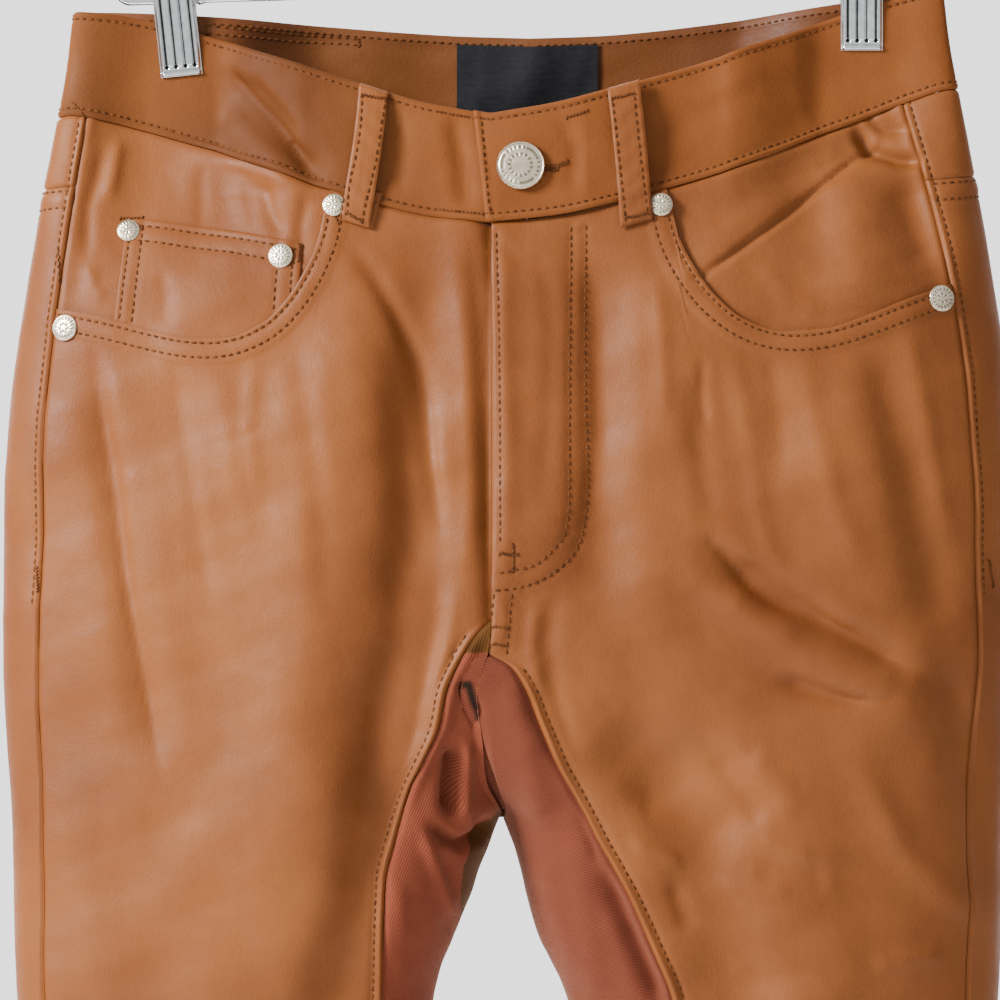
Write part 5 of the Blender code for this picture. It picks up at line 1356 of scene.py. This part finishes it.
def make_label():
    """The bare black label inside the back of the waistband, tacked at its corners."""
    column, share = stations((-1, 1, 0.05)), stations((0, 1, 0.06))[:, None]
    x = LABEL_HALF * column
    drop = band_top[BACK](np.abs(x)) + mix(*LABEL_EDGES, share)
    points, normals = (np.where((x <= 0.0)[None, :, None], right, left) for right, left in
                       zip(*(cloth_at(side, BACK, drop, np.abs(x)) for side in (RIGHT, LEFT))))
    bow = 0.7 * np.sin(math.pi * share) * np.cos(2.2 * column) + 0.25 * np.sin(9.0 * column + 3.0 * share)
    lift = detail(points) - (BAND + 0.8) - np.maximum(0.0, bow)
    shell("jeans_label", points, normals, lift, 0.5, (make_label_cloth(),) * 2, ["label"])


LOOPS = (
    # name, side, face, distance of its middle from the centre, from top to foot
    ("front_right", RIGHT, FRONT, (51, 52.2, 54.2, 56.6, 59.3)),
    ("front_left", LEFT, FRONT, (53.6, 55.2, 56.6, 57.8, 58.8)),
    ("back_right", RIGHT, BACK, (BACK_LOOP, 78.6, BACK_LOOP)),
    ("back_left", LEFT, BACK, (BACK_LOOP, 77.4, BACK_LOOP)),
    ("centre_back", LEFT, BACK, (0, 0.4, 0)),
)
for side in (RIGHT, LEFT):
    make_waistband(side)
    make_front(side)
    make_facing(side)
    make_yoke(side)
    make_back(side)
    make_inner_panel(side)
make_seam_allowance(FRONT, 258.0)
make_seam_allowance(BACK, 290.0)
make_coin_pocket()
panels = cloth_tree()
for loop in LOOPS:
    make_belt_loop(panels, *loop)
for side in (RIGHT, LEFT):
    make_back_pocket(panels, side)
make_label()
make_loop_end(panels)


# ---- Stitches -----------------------------------------------------------------------------------
PITCH, LONG, THICK = 3.3, 2.55, 0.50     # of the stitches, in millimetres
STITCH = (
    # share of the length, share of the thickness, height in millimetres
    (-0.5, 0.40, -0.34), (-0.33, 0.85, 0.02), (0.0, 1.0, 0.14), (0.33, 0.85, 0.02), (0.5, 0.40, -0.34),
)
RING = 6                     # sides of a thread
TACK_THICK, TACK_LIFT = 0.33, 0.2
STAND_OFF = 120.0            # from the middle plane to the places that from_photo gives
SEWN = {"front": [], "sides": [], "back": []}
TACKS = {"front": [], "sides": [], "back": []}
chance = np.random.default_rng(11)


def smooth_line(line, rounds=3):
    """A line with its corners cut again and again."""
    line = np.asarray(line, float)
    for _ in range(rounds):
        near, far = mix(line[:-1], line[1:], 0.25), mix(line[:-1], line[1:], 0.75)
        line = np.concatenate([line[:1], np.stack([near, far], 1).reshape(-1, line.shape[1]), line[-1:]])
    return line


def walk(line, pitch):
    """Even places along a line."""
    line = np.asarray(line, float)
    along = distance_along(line)
    places = np.linspace(0.0, along[-1], max(2, int(round(along[-1] / pitch)) + 1))
    return np.stack([np.interp(places, along, column) for column in line.T], 1)


def from_photo(line, rounds=3):
    """Places in front of the cloth, and the way back from it, along a line of the photo."""
    u, v = walk(smooth_line(line, rounds), 1.8).T
    x, z = from_px(u, v)
    starts = np.stack([x, np.full(len(x), -STAND_OFF), z], 1)
    return starts, np.tile((0.0, -1.0, 0.0), (len(x), 1)), 2.0 * STAND_OFF


def from_cloth(side, face, across, drop):
    """Places off the cloth along a line given by its distance across and down."""
    across, drop = walk(np.stack(np.broadcast_arrays(np.asarray(across, float), drop), 1), 0.9).T
    points, normals = cloth_at(side, face, drop, across)
    return points + normals * 14.0, normals, 24.0


def around_band(side, places, drop_at, inside=False):
    """The same along a line round the garment."""
    drop = drop_at(places)
    points, normals = frame_of(skin, side, drop, places)
    if inside:
        return points - normals * (BAND + 2.2), -normals, 5.0
    return points + normals * 12.0, normals, 20.0


def land(tree, starts, ways, reach):
    """Where the cloth is met from each place, in unbroken runs of (points, normals)."""
    runs, points, normals = [], [], []
    for start, way in zip(starts, ways):
        hit, normal, _, _ = tree.ray_cast(Vector(start), Vector(-way), reach)
        jump = hit is not None and points and (hit - points[-1]).length > 4.0
        if (hit is None or jump) and points:
            runs.append((points, normals))
            points, normals = [], []
        if hit is not None:
            points.append(hit)
            normals.append(normal if normal.dot(Vector(way)) > 0.0 else -normal)
    runs.append((points, normals))
    return [(np.array(p), np.array(n)) for p, n in runs if len(p) > 3]


def sew(tree, where, row):
    """A row of stitches on the cloth."""
    share, width, height = np.array(STITCH).T
    for points, normals in land(tree, *row):
        along = distance_along(points)
        count = int(along[-1] / PITCH)
        if count < 1:
            continue
        middles = (np.arange(count) + 0.5) * along[-1] / count + chance.uniform(-0.1, 0.1, count)
        lengths = LONG * chance.uniform(0.9, 1.06, count)
        at = middles[:, None] + lengths[:, None] * share
        spine, up = (np.stack([np.interp(at, along, column) for column in part.T], -1)
                     for part in (points, normals))
        up = unit(up)
        side_way = unit(np.cross(up, unit(spine[:, -1:] - spine[:, :1])))
        lean = chance.uniform(-0.10, 0.10, count)[:, None] * share
        spine = spine + up * height[:, None] + side_way * (lean * LONG)[..., None]
        angle, girth = ring_angles(RING), THICK * width
        ring = side_way[:, :, None] * np.cos(angle)[:, None] + up[:, :, None] * (0.8 * np.sin(angle))[:, None]
        SEWN[where].append(spine[:, :, None] + ring * girth[:, None, None])


def tube_mesh(rings):
    """Points and faces of closed tubes, from rings of points (tubes, rings, sides, 3)."""
    tubes, count, sides = rings.shape[:3]
    first = (np.arange(tubes) * count * sides)[:, None, None]
    ring = (np.arange(count - 1) * sides)[None, :, None]
    j = np.arange(sides)[None, None, :]
    a, b = first + ring + j, first + ring + (j + 1) % sides
    quads = np.stack([a, b, b + sides, a + sides], -1).reshape(-1, 4)
    starts = (np.arange(tubes) * count * sides)[:, None] + np.arange(sides)[::-1]
    ends = (np.arange(tubes) * count * sides)[:, None] + (count - 1) * sides + np.arange(sides)
    return rings.reshape(-1, 3), [tuple(face) for part in (quads, starts, ends) for face in part.tolist()]


def zigzag(start, end, half, teeth):
    """A dense zigzag between two places of the photo."""
    start, end = np.array(start, float), np.array(end, float)
    run = end - start
    across = np.array((-run[1], run[0])) / np.linalg.norm(run) * half
    uneven = np.random.default_rng(1)
    return [start + run * (n / teeth) + across * ((-1) ** n) * uneven.uniform(0.8, 1.15)
            for n in range(teeth + 1)]


def tack(tree, where, row):
    """A continuous thread laid along a row."""
    for points, normals in land(tree, *row):
        side_way = unit(np.cross(normals, unit(np.gradient(points, axis=0))))
        angle = ring_angles(RING)
        ring = side_way[:, None] * np.cos(angle)[:, None] + normals[:, None] * np.sin(angle)[:, None]
        TACKS[where].append((points + normals * TACK_LIFT)[:, None] + ring * TACK_THICK)


def offset_line(line, gap):
    """A line of (across, drop) moved sideways, to the side of the greater drop."""
    line = smooth_line(line)
    ahead = unit(np.gradient(line, axis=0))
    return line + gap * np.stack([-ahead[:, 1], ahead[:, 0]], 1)


MOUTH_END = (189.0, 125.8)   # outer end of the pocket mouth's rows
OUTSEAM_ROW_END = {RIGHT: 250.0, LEFT: 262.0}
LOOP_EDGE_ROW = 4.4          # from a belt loop's middle to its rows
LOOP_ROWS = (
    # and below, in pixels of the photo
    ((362, 92), (361, 120), (357, 152), (350, 178), (347, 205), (348, 217)),
    ((386, 96), (381, 124), (377, 156), (370, 186), (364, 208), (362, 225)),
    ((612, 101), (616, 134), (621, 184), (625, 218)),
    ((634, 95), (637, 134), (643, 182), (647, 213)),
)
LAP_ROW = (((481, 120), (484, 157), (488, 205), (491, 213)),)
STRIP_ROWS = (
    ((203, 22), (259, 27), (299, 30), (341, 32), (357, 34)),
    ((203, 30), (259, 34), (299, 37), (341, 38), (357, 40)),
)
TACK_LINES = (
    # start, end, half width in pixels, teeth
    ((361, 95), (388, 99), 2.4, 16), ((346, 213), (363, 222), 2.4, 14),
    ((611, 99), (635, 93), 2.4, 16), ((624, 219), (648, 213), 2.6, 16),
    ((543, 169), (568, 163), 4.2, 17), ((543, 172), (558, 170), 3.0, 9),
    ((499, 553), (518, 555), 2.6, 15), ((513, 543), (513, 572), 1.6, 12),
    ((493, 626), (508, 627), 1.6, 12), ((493, 643), (507, 645), 1.6, 12),
    ((36, 566), (37, 592), 1.8, 16), ((990, 560), (995, 588), 1.8, 16),
    ((203, 20), (204, 32), 2.2, 9), ((356, 33), (358, 41), 2.4, 8),
    ((118, 217), (142, 217), 2.0, 13), ((300, 244), (299, 262), 2.0, 12),
    ((57, 246), (58, 283), 1.2, 11), ((332, 212), (339, 224), 1.6, 8),
    ((566, 118), (588, 111), 2.0, 13), ((70, 100), (84, 116), 1.2, 8),
)


def sew_waistband(side):
    """Rows along the top and the foot of a half, outside and where they show inside the back."""
    places = np.linspace(-0.045 if side == LEFT else 0.0, 2.0, 800)
    for edge, gap in ((band_top, 3.0), (waist_seam, -3.2)):
        for where, part, inside in (("front", places[:400], False), ("back", places[400:], False),
                                    ("back", places[410:], True)):
            sew(panels, where, around_band(side, part, lambda p: edge_drop(edge, p) + gap, inside))


def sew_pocket_mouth(tree, side):
    """Two rows beside the scoop, cut off at the waistband and at the outseam."""
    for gap in (2.4, 8.4):
        across, drop = offset_line(SCOOP[:-1] + (MOUTH_END,), gap).T
        keep = (drop > waist_seam[FRONT](across) + 1.5) & (across < panel_reach(side, drop) - 0.5)
        sew(tree, "front", from_cloth(side, FRONT, across[keep], drop[keep]))


def sew_outseam(tree, side):
    """The row on the back's turned edge, down to where it ends."""
    drop = np.linspace(47.0, OUTSEAM_ROW_END[side], 120)
    sew(tree, "sides", from_cloth(side, FRONT, panel_reach(side, drop) + 3.1, drop))


def sew_yoke(tree, side):
    """Two rows below the yoke's seam, on the part that wraps to the front and on the back."""
    for gap in (1.9, 8.9):
        for where, low, high in (("sides", 0.68, 1.0), ("back", 1.0, 1.999)):
            places = np.linspace(low, high, 300)
            if where == "sides":
                reach = reach_of(yoke_drop(side, places), places)
                places = places[reach > panel_reach(side, yoke_drop(side, 1.0)) + 1.5]
            sew(tree, where, around_band(side, places, lambda p: yoke_drop(side, p) + gap))


def sew_leg(tree, side):
    """The row beside the inner-leg panel and those of the hem."""
    drop = np.concatenate([np.linspace(FRONT_CROTCH[side] + 6.0, MEET, 60),
                           np.linspace(MEET, HEM - 2.0, 200)[1:]])
    sew(tree, "front", from_cloth(side, FRONT, front_inner(side, drop) + 4.3, drop))
    level = HEM - HEM_ROW
    across = np.concatenate([np.linspace(float(leg_start(level)) + 1.0, 200.0, 80),
                             np.linspace(200.0, float(half_width(level)) - 0.3, 40)])
    for face in (FRONT, BACK):
        sew(tree, FACE_NAME[face], from_cloth(side, face, across, level))


def sew_back_pocket(tree, side):
    """Two rows down one side, round the point and up again, and the row of the mouth's hem."""
    share = np.linspace(0.0, 1.0, 60)
    for rim in (2.2, 8.4):
        mouth, foot = (half - rim for half in POCKET_HALF)
        corner = POCKET_POINT - POCKET_RISE - rim * 0.8
        down = np.stack([POCKET_MIDDLE + mix(-mouth, -foot, share), mix(135.5, corner, share)], 1)
        up = np.stack([POCKET_MIDDLE + mix(foot, mouth, share), mix(corner, 132.0, share)], 1)
        line = np.concatenate([down, [(POCKET_MIDDLE, POCKET_POINT - rim * 1.07)], up])
        sew(tree, "back", from_cloth(side, BACK, line[:, 0], line[:, 1]))
    across = np.linspace(POCKET_MIDDLE - 65.0, POCKET_MIDDLE + 65.0, 50)
    sew(tree, "back", from_cloth(side, BACK, across, mix(*POCKET_MOUTH, (across - 25.0) / 130.0) + 14.5))


def sew_back_loop(tree, side):
    """The rows along both edges of a belt loop."""
    drop = np.linspace(float(band_top[BACK](BACK_LOOP)) + 1.5, float(waist_seam[BACK](BACK_LOOP)) + 10.0, 30)
    for edge in (-LOOP_EDGE_ROW, LOOP_EDGE_ROW):
        sew(tree, "back", from_cloth(side, BACK, BACK_LOOP + edge, drop))


def sew_centre_back(tree):
    """The rows of the centre belt loop and of the centre seam."""
    for side in (RIGHT, LEFT):
        sew(tree, "back", from_cloth(side, BACK, LOOP_EDGE_ROW, np.linspace(17.0, 70.0, 30)))
    for gap in (2.7, 8.9):
        sew(tree, "back", from_cloth(LEFT, BACK, gap, np.linspace(72.0, BACK_CROTCH - 6.0, 90)))


def sew_coin_pocket(tree):
    """Two rows down each side, then two along the mouth."""
    def sew_row(across, drop):
        sew(tree, "front", from_cloth(RIGHT, FRONT, coin_across(across, drop), drop))

    for across, low in ((88.7, 3.0), (95.6, 9.0), (163.1, 3.0), (157.8, 3.0)):
        sew_row(across, np.linspace(float(coin_line(across)) + low, float(scoop(across)) - 1.0, 20))
    across = np.linspace(COIN_SIDES[0] + 2.0, COIN_SIDES[1] - 1.5, 40)
    for gap in (3.2, 9.5):
        sew_row(across, coin_line(across) + gap)


def sew_all(tree):
    """Every row, in an order that keeps each stitch's chance the same."""
    for side in (RIGHT, LEFT):
        sew_waistband(side)
        for sew_part in (sew_pocket_mouth, sew_outseam, sew_yoke, sew_leg, sew_back_pocket, sew_back_loop):
            sew_part(tree, side)
    sew_centre_back(tree)
    sew_coin_pocket(tree)
    for line in (FLY_ROWS + (FLY_EDGE_ROW, FLY_SHORT_ROW) + CROTCH_ROWS_PX + LOOP_ROWS + LAP_ROW
                 + STRIP_ROWS):
        sew(tree, "front", from_photo(line))
    for ends_and_teeth in TACK_LINES:
        tack(tree, "front", from_photo(zigzag(*ends_and_teeth), 1))


def make_stitches(tree):
    """The stitches and tacks, as one piece each for the front, the wrapped sides and the back."""
    sew_all(tree)
    for where, parts in SEWN.items():
        points, faces = tube_mesh(np.concatenate(parts))
        for rings in TACKS[where]:
            more, extra = tube_mesh(rings[None])
            faces += [tuple(n + len(points) for n in face) for face in extra]
            points = np.concatenate([points, more])
        add_piece(f"stitches_{where}", points, faces, (thread,), sharp=70.0)


# ---- Metal --------------------------------------------------------------------------------------
# Each profile runs from the middle to the rim, as a share of the radius and a height.
BUTTON_DOME = ((0, 2.95), (0.3, 2.9), (0.6, 2.65), (0.85, 2.3), (0.94, 2.1), (0.985, 1.7), (1, 1.2),
               (0.985, 0.7), (0.93, 0.2), (0.5, 0))
RIVET_HEAD = ((0, 1.7), (0.35, 1.62), (0.65, 1.4), (0.88, 1.1), (0.97, 0.8), (1, 0.45), (0.97, 0.15),
              (0.5, 0))


def lathe(name, node, across, drop, profile, relief, tree, sides):
    """A round head on the cloth, from a profile of (radius, height) and a relief on it."""
    side = LEFT if across > 0.0 else RIGHT
    radius = max(r for r, _ in profile)
    point, normal = cloth_at(side, FRONT, drop, side * untwist(FRONT, across, drop))
    first = unit(np.cross((0.0, 0.0, 1.0), normal))
    second = np.cross(normal, first)
    heights = []
    for angle in np.linspace(0.0, 2.0 * math.pi, 12, endpoint=False):
        spot = point + 0.85 * radius * (first * math.cos(angle) + second * math.sin(angle))
        hit = tree.ray_cast(Vector(spot + normal * 12.0), Vector(-normal), 24.0)[0]
        if hit is not None:
            heights.append(float(np.dot(np.array(hit) - point, normal)))
    seat_height = float(np.median(heights)) + 0.1
    along = distance_along(profile)
    places = np.linspace(0.0, along[-1], 64)
    radii, rise = (np.interp(places, along, column) for column in np.array(profile).T)
    angle = ring_angles(sides)
    shape = relief(radii[:, None] / radius, angle) * (rise > 0.3 * rise.max())[:, None]
    rise = rise[:, None] + shape
    radii = np.maximum(radii, 0.02)[:, None]
    points = (point + first * (radii * np.cos(angle))[..., None] + second * (radii * np.sin(angle))[..., None]
              + normal * (rise + seat_height)[..., None])
    corners, faces = tube_mesh(points[None])
    piece = add_piece(name, corners, faces, (gold, gold_dark), (node,), sharp=40.0)
    paint(piece.data, np.flatnonzero(shape[:-1] < -0.07), 1)


def button_relief(share, angle):
    """A ring of bars and beads between two fine rims, round a plain middle."""
    bars = smooth_step(-0.2, 0.3, np.cos(26.0 * angle)) * smooth_step(-0.55, 0.1, np.cos(3.0 * angle + 0.6))
    zone = bump((share - 0.74) / 0.115, 1.0) ** 2
    inner = smooth_step(0.1, 0.6, np.cos(15.0 * angle + 0.8)) * bump((share - 0.43) / 0.07, 1.0)
    return (0.34 * zone * (bars - 0.42) + 0.20 * inner - 0.10 * bump((share - 0.43) / 0.12, 1.0)
            + 0.18 * bump(share - 0.94, 0.03) - 0.16 * bump(share - 0.895, 0.018))


def rivet_relief(share, angle):
    """A ring of short bars inside a fine rim."""
    bars = smooth_step(-0.3, 0.3, np.cos(17.0 * angle))
    return (0.26 * bump((share - 0.68) / 0.14, 1.0) * (bars - 0.45) + 0.16 * bump(share - 0.30, 0.10)
            * np.cos(6.0 * angle) - 0.14 * bump(share - 0.88, 0.025))


def make_studs(tree):
    """The waist button and the rivets."""
    studs = [("button", *BUTTON, BUTTON_DOME, button_relief, 120)]
    studs += [(*rivet, RIVET_HEAD, rivet_relief, 72) for rivet in RIVETS]
    for node, across, drop, radius, profile, relief, sides in studs:
        profile = [(share * radius, height) for share, height in profile]
        lathe(f"jeans_{node}", node, across, drop, profile, relief, tree, sides)


BAR_DROP = -4.5              # of its axis, at the middle
BAR_RADIUS, BAR_REACH, BAR_CURL = 1.5, 159.0, 7.5   # wire, half length, radius of the curled ends
BAR_RISE = math.radians(2.2)
BAR_COLLAR = -130.0          # the wire has a small collar here
HOOK_RADIUS, HOOK_BEND = 1.9, 19.0      # of the wire, and of the bend at its middle
HOOK_STEM = ((0.0, -56.0), (1.0, -50.0), (4.8, -43.5), (11.0, -37.0))
JAW_HALF, JAW_WALL = 8.8, 1.5
JAW_FOOT, JAW_TOP = -32.0, 10.0      # from the bar's axis
JAW_SHIFT = {RIGHT: -3.2, LEFT: 0.6}    # sideways, from the solid to where the photo has the jaw
JAW_STATIONS = (
    # height, inner face's distance from the middle plane
    (JAW_FOOT, 3.75), (-29, 3.45), (-14, 3.45), (-6, 4.6), (4, 4.9), (JAW_TOP, 6.4),
)
FLUTE, FLUTE_FOOT = 0.45, -28.0      # pitch of the grooves, as a share of JAW_HALF, and where they end
WIRE_SIDES = 20


def bar_height(x):
    """Height of the bar's axis."""
    return x * math.tan(BAR_RISE) - HOOK_TO_WAIST - BAR_DROP


def wire(name, node, path, radius, collar=None):
    """A smooth round wire along a path in the X-Z plane."""
    path = walk(smooth_line(path, 2), 1.0)
    ahead = unit(np.gradient(path, axis=0))
    side_way = np.stack([ahead[:, 1], -ahead[:, 0]], 1)
    girth = np.full(len(path), radius)
    girth[[0, -1]], girth[[1, -2]] = 0.35 * radius, 0.85 * radius
    if collar is not None:
        girth = girth + 0.9 * bump(path[:, 0] - collar, 1.1)
    angle = ring_angles(WIRE_SIDES)
    points = np.zeros((len(path), WIRE_SIDES, 3))
    points[..., 0] = path[:, :1] + girth[:, None] * side_way[:, :1] * np.cos(angle)
    points[..., 2] = path[:, 1:] + girth[:, None] * side_way[:, 1:] * np.cos(angle)
    points[..., 1] = girth[:, None] * np.sin(angle)
    corners, faces = tube_mesh(points[None])
    add_piece(name, corners, faces, (chrome,), (node,), sharp=60.0)


def make_jaw(side, face):
    """A fluted jaw: four grooves that end in round holes above a bevelled lip; the grooves' floors and the
    holes are painted dark, as painted shade.
    """
    pivot = np.array((CLIP_X[side] + JAW_SHIFT[side], 0.0, bar_height(CLIP_X[side])))
    tilt = CLIP_TILT[side]
    across_way = np.array((math.cos(tilt), 0.0, -math.sin(tilt)))
    upright = np.array((math.sin(tilt), 0.0, math.cos(tilt)))
    rise = stations((JAW_FOOT, -31, 0.2), (-31, -24, 0.28), (-24, 8, 1.6), (8, JAW_TOP, 0.4))[:, None]
    x = stations((-JAW_HALF, JAW_HALF, 0.24 if face == FRONT else 0.36))[None, :]
    stand = np.interp(rise, *np.array(JAW_STATIONS).T)
    out = np.full(np.broadcast(rise, x).shape, JAW_WALL)
    fluted = smooth_step(-28.2, -27.2, rise)
    rib = np.abs((x / (FLUTE * JAW_HALF) + 0.5) % 1.0 - 0.5)
    inside = 1.0 - smooth_step(0.9 * JAW_HALF, 0.97 * JAW_HALF, np.abs(x))
    to_side = JAW_HALF - np.abs(x)
    out = out + fluted * inside * (0.30 - 1.5 * rib ** 2) * 0.9 - 0.9 * (1.0 - smooth_step(0.0, 1.6, to_side))
    pits, deep = np.full(out.shape, 9.0), np.zeros(out.shape)
    for n in range(4):
        groove = (n - 1.5) * FLUTE * JAW_HALF
        out = out - 0.5 * fluted * bump(x - groove, 0.5)
        deep = np.maximum(deep, fluted * bump(x - groove, 0.5))
        pits = np.minimum(pits, np.hypot(x - groove, rise - FLUTE_FOOT))
    out = out - 1.1 * bump(pits, 0.75)
    out = out + 0.35 * (1.0 - smooth_step(-30.6, -29.6, rise)) - 0.55 * bump(rise + 29.7, 0.3)
    rim = np.minimum(to_side, np.minimum(rise - JAW_FOOT, JAW_TOP - rise))
    out = np.maximum(out - 0.75 * bump(rim, 0.45), 0.45)
    grid = pivot + across_way * x[..., None] + upright * rise[..., None]
    way = np.array((0.0, float(face), 0.0))
    outer = grid + way * (stand + out)[..., None]
    inner = grid + way * np.broadcast_to(stand, out.shape)[..., None]
    node = f"clip_{SIDE_NAME[side]}_{FACE_NAME[face]}_jaw"
    piece = slab(f"hanger_{node}", outer, inner, np.broadcast_to(way, outer.shape), (chrome, chrome, groove_painted_shade),
                 (node,), sharp=35.0)[0]
    # Painted shade: faces in the grooves' floors and in the holes take the dark material.
    dark = ((pits[:-1, :-1] + pits[1:, 1:]) * 0.5 < 0.78) | (deep[:-1, :-1] > 0.72)
    paint(piece.data, np.flatnonzero(dark), 2)


def make_hanger():
    """The bar with its curled ends, the hook and the four jaws, and the solids' chrome sleeves."""
    path = []
    for side in (RIGHT, LEFT):
        angle = np.radians(-90.0 + 26.0 * np.arange(8))
        end = np.stack([side * (BAR_REACH + BAR_CURL * np.cos(angle)),
                        bar_height(side * BAR_REACH) + BAR_CURL * (1.0 + np.sin(angle))], 1)
        path += list(end[::-1]) if side == RIGHT else list(end)
    wire("hanger_wire_bar", "hanger_bar", path, BAR_RADIUS, BAR_COLLAR)
    foot = bar_height(0.0) + BAR_RADIUS + 0.35
    path = [(0.0, foot), (0.0, 0.5 * (foot + HOOK_STEM[0][1]))] + list(HOOK_STEM)
    angle = np.radians(-28.0 + 20.0 * np.arange(13))
    path += list(np.stack([HOOK_BEND * np.cos(angle),
                           HOOK_RADIUS - HOOK_BEND + HOOK_BEND * np.sin(angle)], 1))
    wire("hanger_wire_hook", "hanger_hook", path, HOOK_RADIUS)
    for side in (RIGHT, LEFT):
        for face in (FRONT, BACK):
            make_jaw(side, face)
        bpy.data.objects[f"clip_{SIDE_NAME[side]}_sleeve"].material_slots[0].material = chrome


garment = cloth_tree()
make_studs(garment)
make_stitches(garment)
make_hanger()


# ---- Light, floor and camera --------------------------------------------------------------------
def make_light(name, place, aim, size, watts):
    """A round area light; its place, aim and size are in metres."""
    light = bpy.data.lights.new(name, "AREA")
    light.shape, light.size, light.energy = "DISK", size, watts
    item = place_item(name, light)
    item.location = place
    item.rotation_euler = (Vector(aim) - Vector(place)).to_track_quat("-Z", "Y").to_euler()


SKY_FADES = (
    # direction's axis, from, to, brightness from, to
    ("Y", -0.1, 0.4, 1.0, 2.1), ("X", 0.45, 0.95, 1.0, 0.4), ("X", -0.95, -0.75, 0.55, 1.0),
)
FLOOR_HALF, FLOOR_HEIGHT = 2.6, -1.42
PHOTO_SIZE = 1000            # pixels
CAMERA_DISTANCE, CLOTH_AHEAD = 4.0, 0.03     # of the camera and the front's cloth, before the middle plane


def make_world():
    """White all round: brightest behind the garment, dimmer at its left side."""
    n = Nodes(bpy.data.worlds.new("pale"), "Background", "Generated")
    n.shader.inputs["Color"].default_value = (1.0, 1.0, 1.0, 1.0)
    way = n.add("ShaderNodeSeparateXYZ")
    n.link(n.place, way, "Vector")
    strength, *others = (n.ranged(way.outputs[axis], low, high, start, end, interpolation_type="SMOOTHSTEP")
                         for axis, start, end, low, high in SKY_FADES)
    for other in others:
        strength = n.maths("MULTIPLY", strength, other)
    n.link(strength, n.shader, "Strength")
    return n.data


def make_stage():
    """World, floor, lights and the camera that sees what the photo shows."""
    bpy.context.scene.world = make_world()
    mesh = bpy.data.meshes.new("floor")
    corners = ((-FLOOR_HALF, -FLOOR_HALF), (FLOOR_HALF, -FLOOR_HALF), (FLOOR_HALF, FLOOR_HALF),
               (-FLOOR_HALF, FLOOR_HALF))
    mesh.from_pydata([(*corner, FLOOR_HEIGHT) for corner in corners], [], [(0, 1, 2, 3)])
    n = paint_nodes("floor_paint")
    n.colour(n.ramp(n.noise(3.0), (0.3, (0.80, 0.80, 0.80)), (0.7, (0.86, 0.86, 0.86))))
    n.rough(n.ranged(n.noise(40.0), 0.6, 0.8))
    mesh.materials.append(n.data)
    floor = place_item("floor", mesh)
    make_light("key", (-2.05, -1.3, 0.75), (0.0, 0.0, -0.35), 0.9, 225.0)
    make_light("back", (-0.9, 2.3, 0.7), (0.0, 0.0, -0.5), 1.1, 170.0)
    camera = bpy.data.cameras.new("camera")
    camera.sensor_width = 36.0
    camera.lens = 36.0 * (CAMERA_DISTANCE - CLOTH_AHEAD) / (PHOTO_SIZE * PIXEL * MM)
    camera.clip_start, camera.clip_end = 0.1, 20.0
    item = place_item("camera", camera)
    x, z = from_px(0.5 * PHOTO_SIZE, 0.5 * PHOTO_SIZE)
    item.location = (float(x) * MM, -CAMERA_DISTANCE, float(z) * MM)
    item.rotation_euler = (math.radians(90.0), 0.0, 0.0)
    bpy.context.scene.camera = item


make_stage()
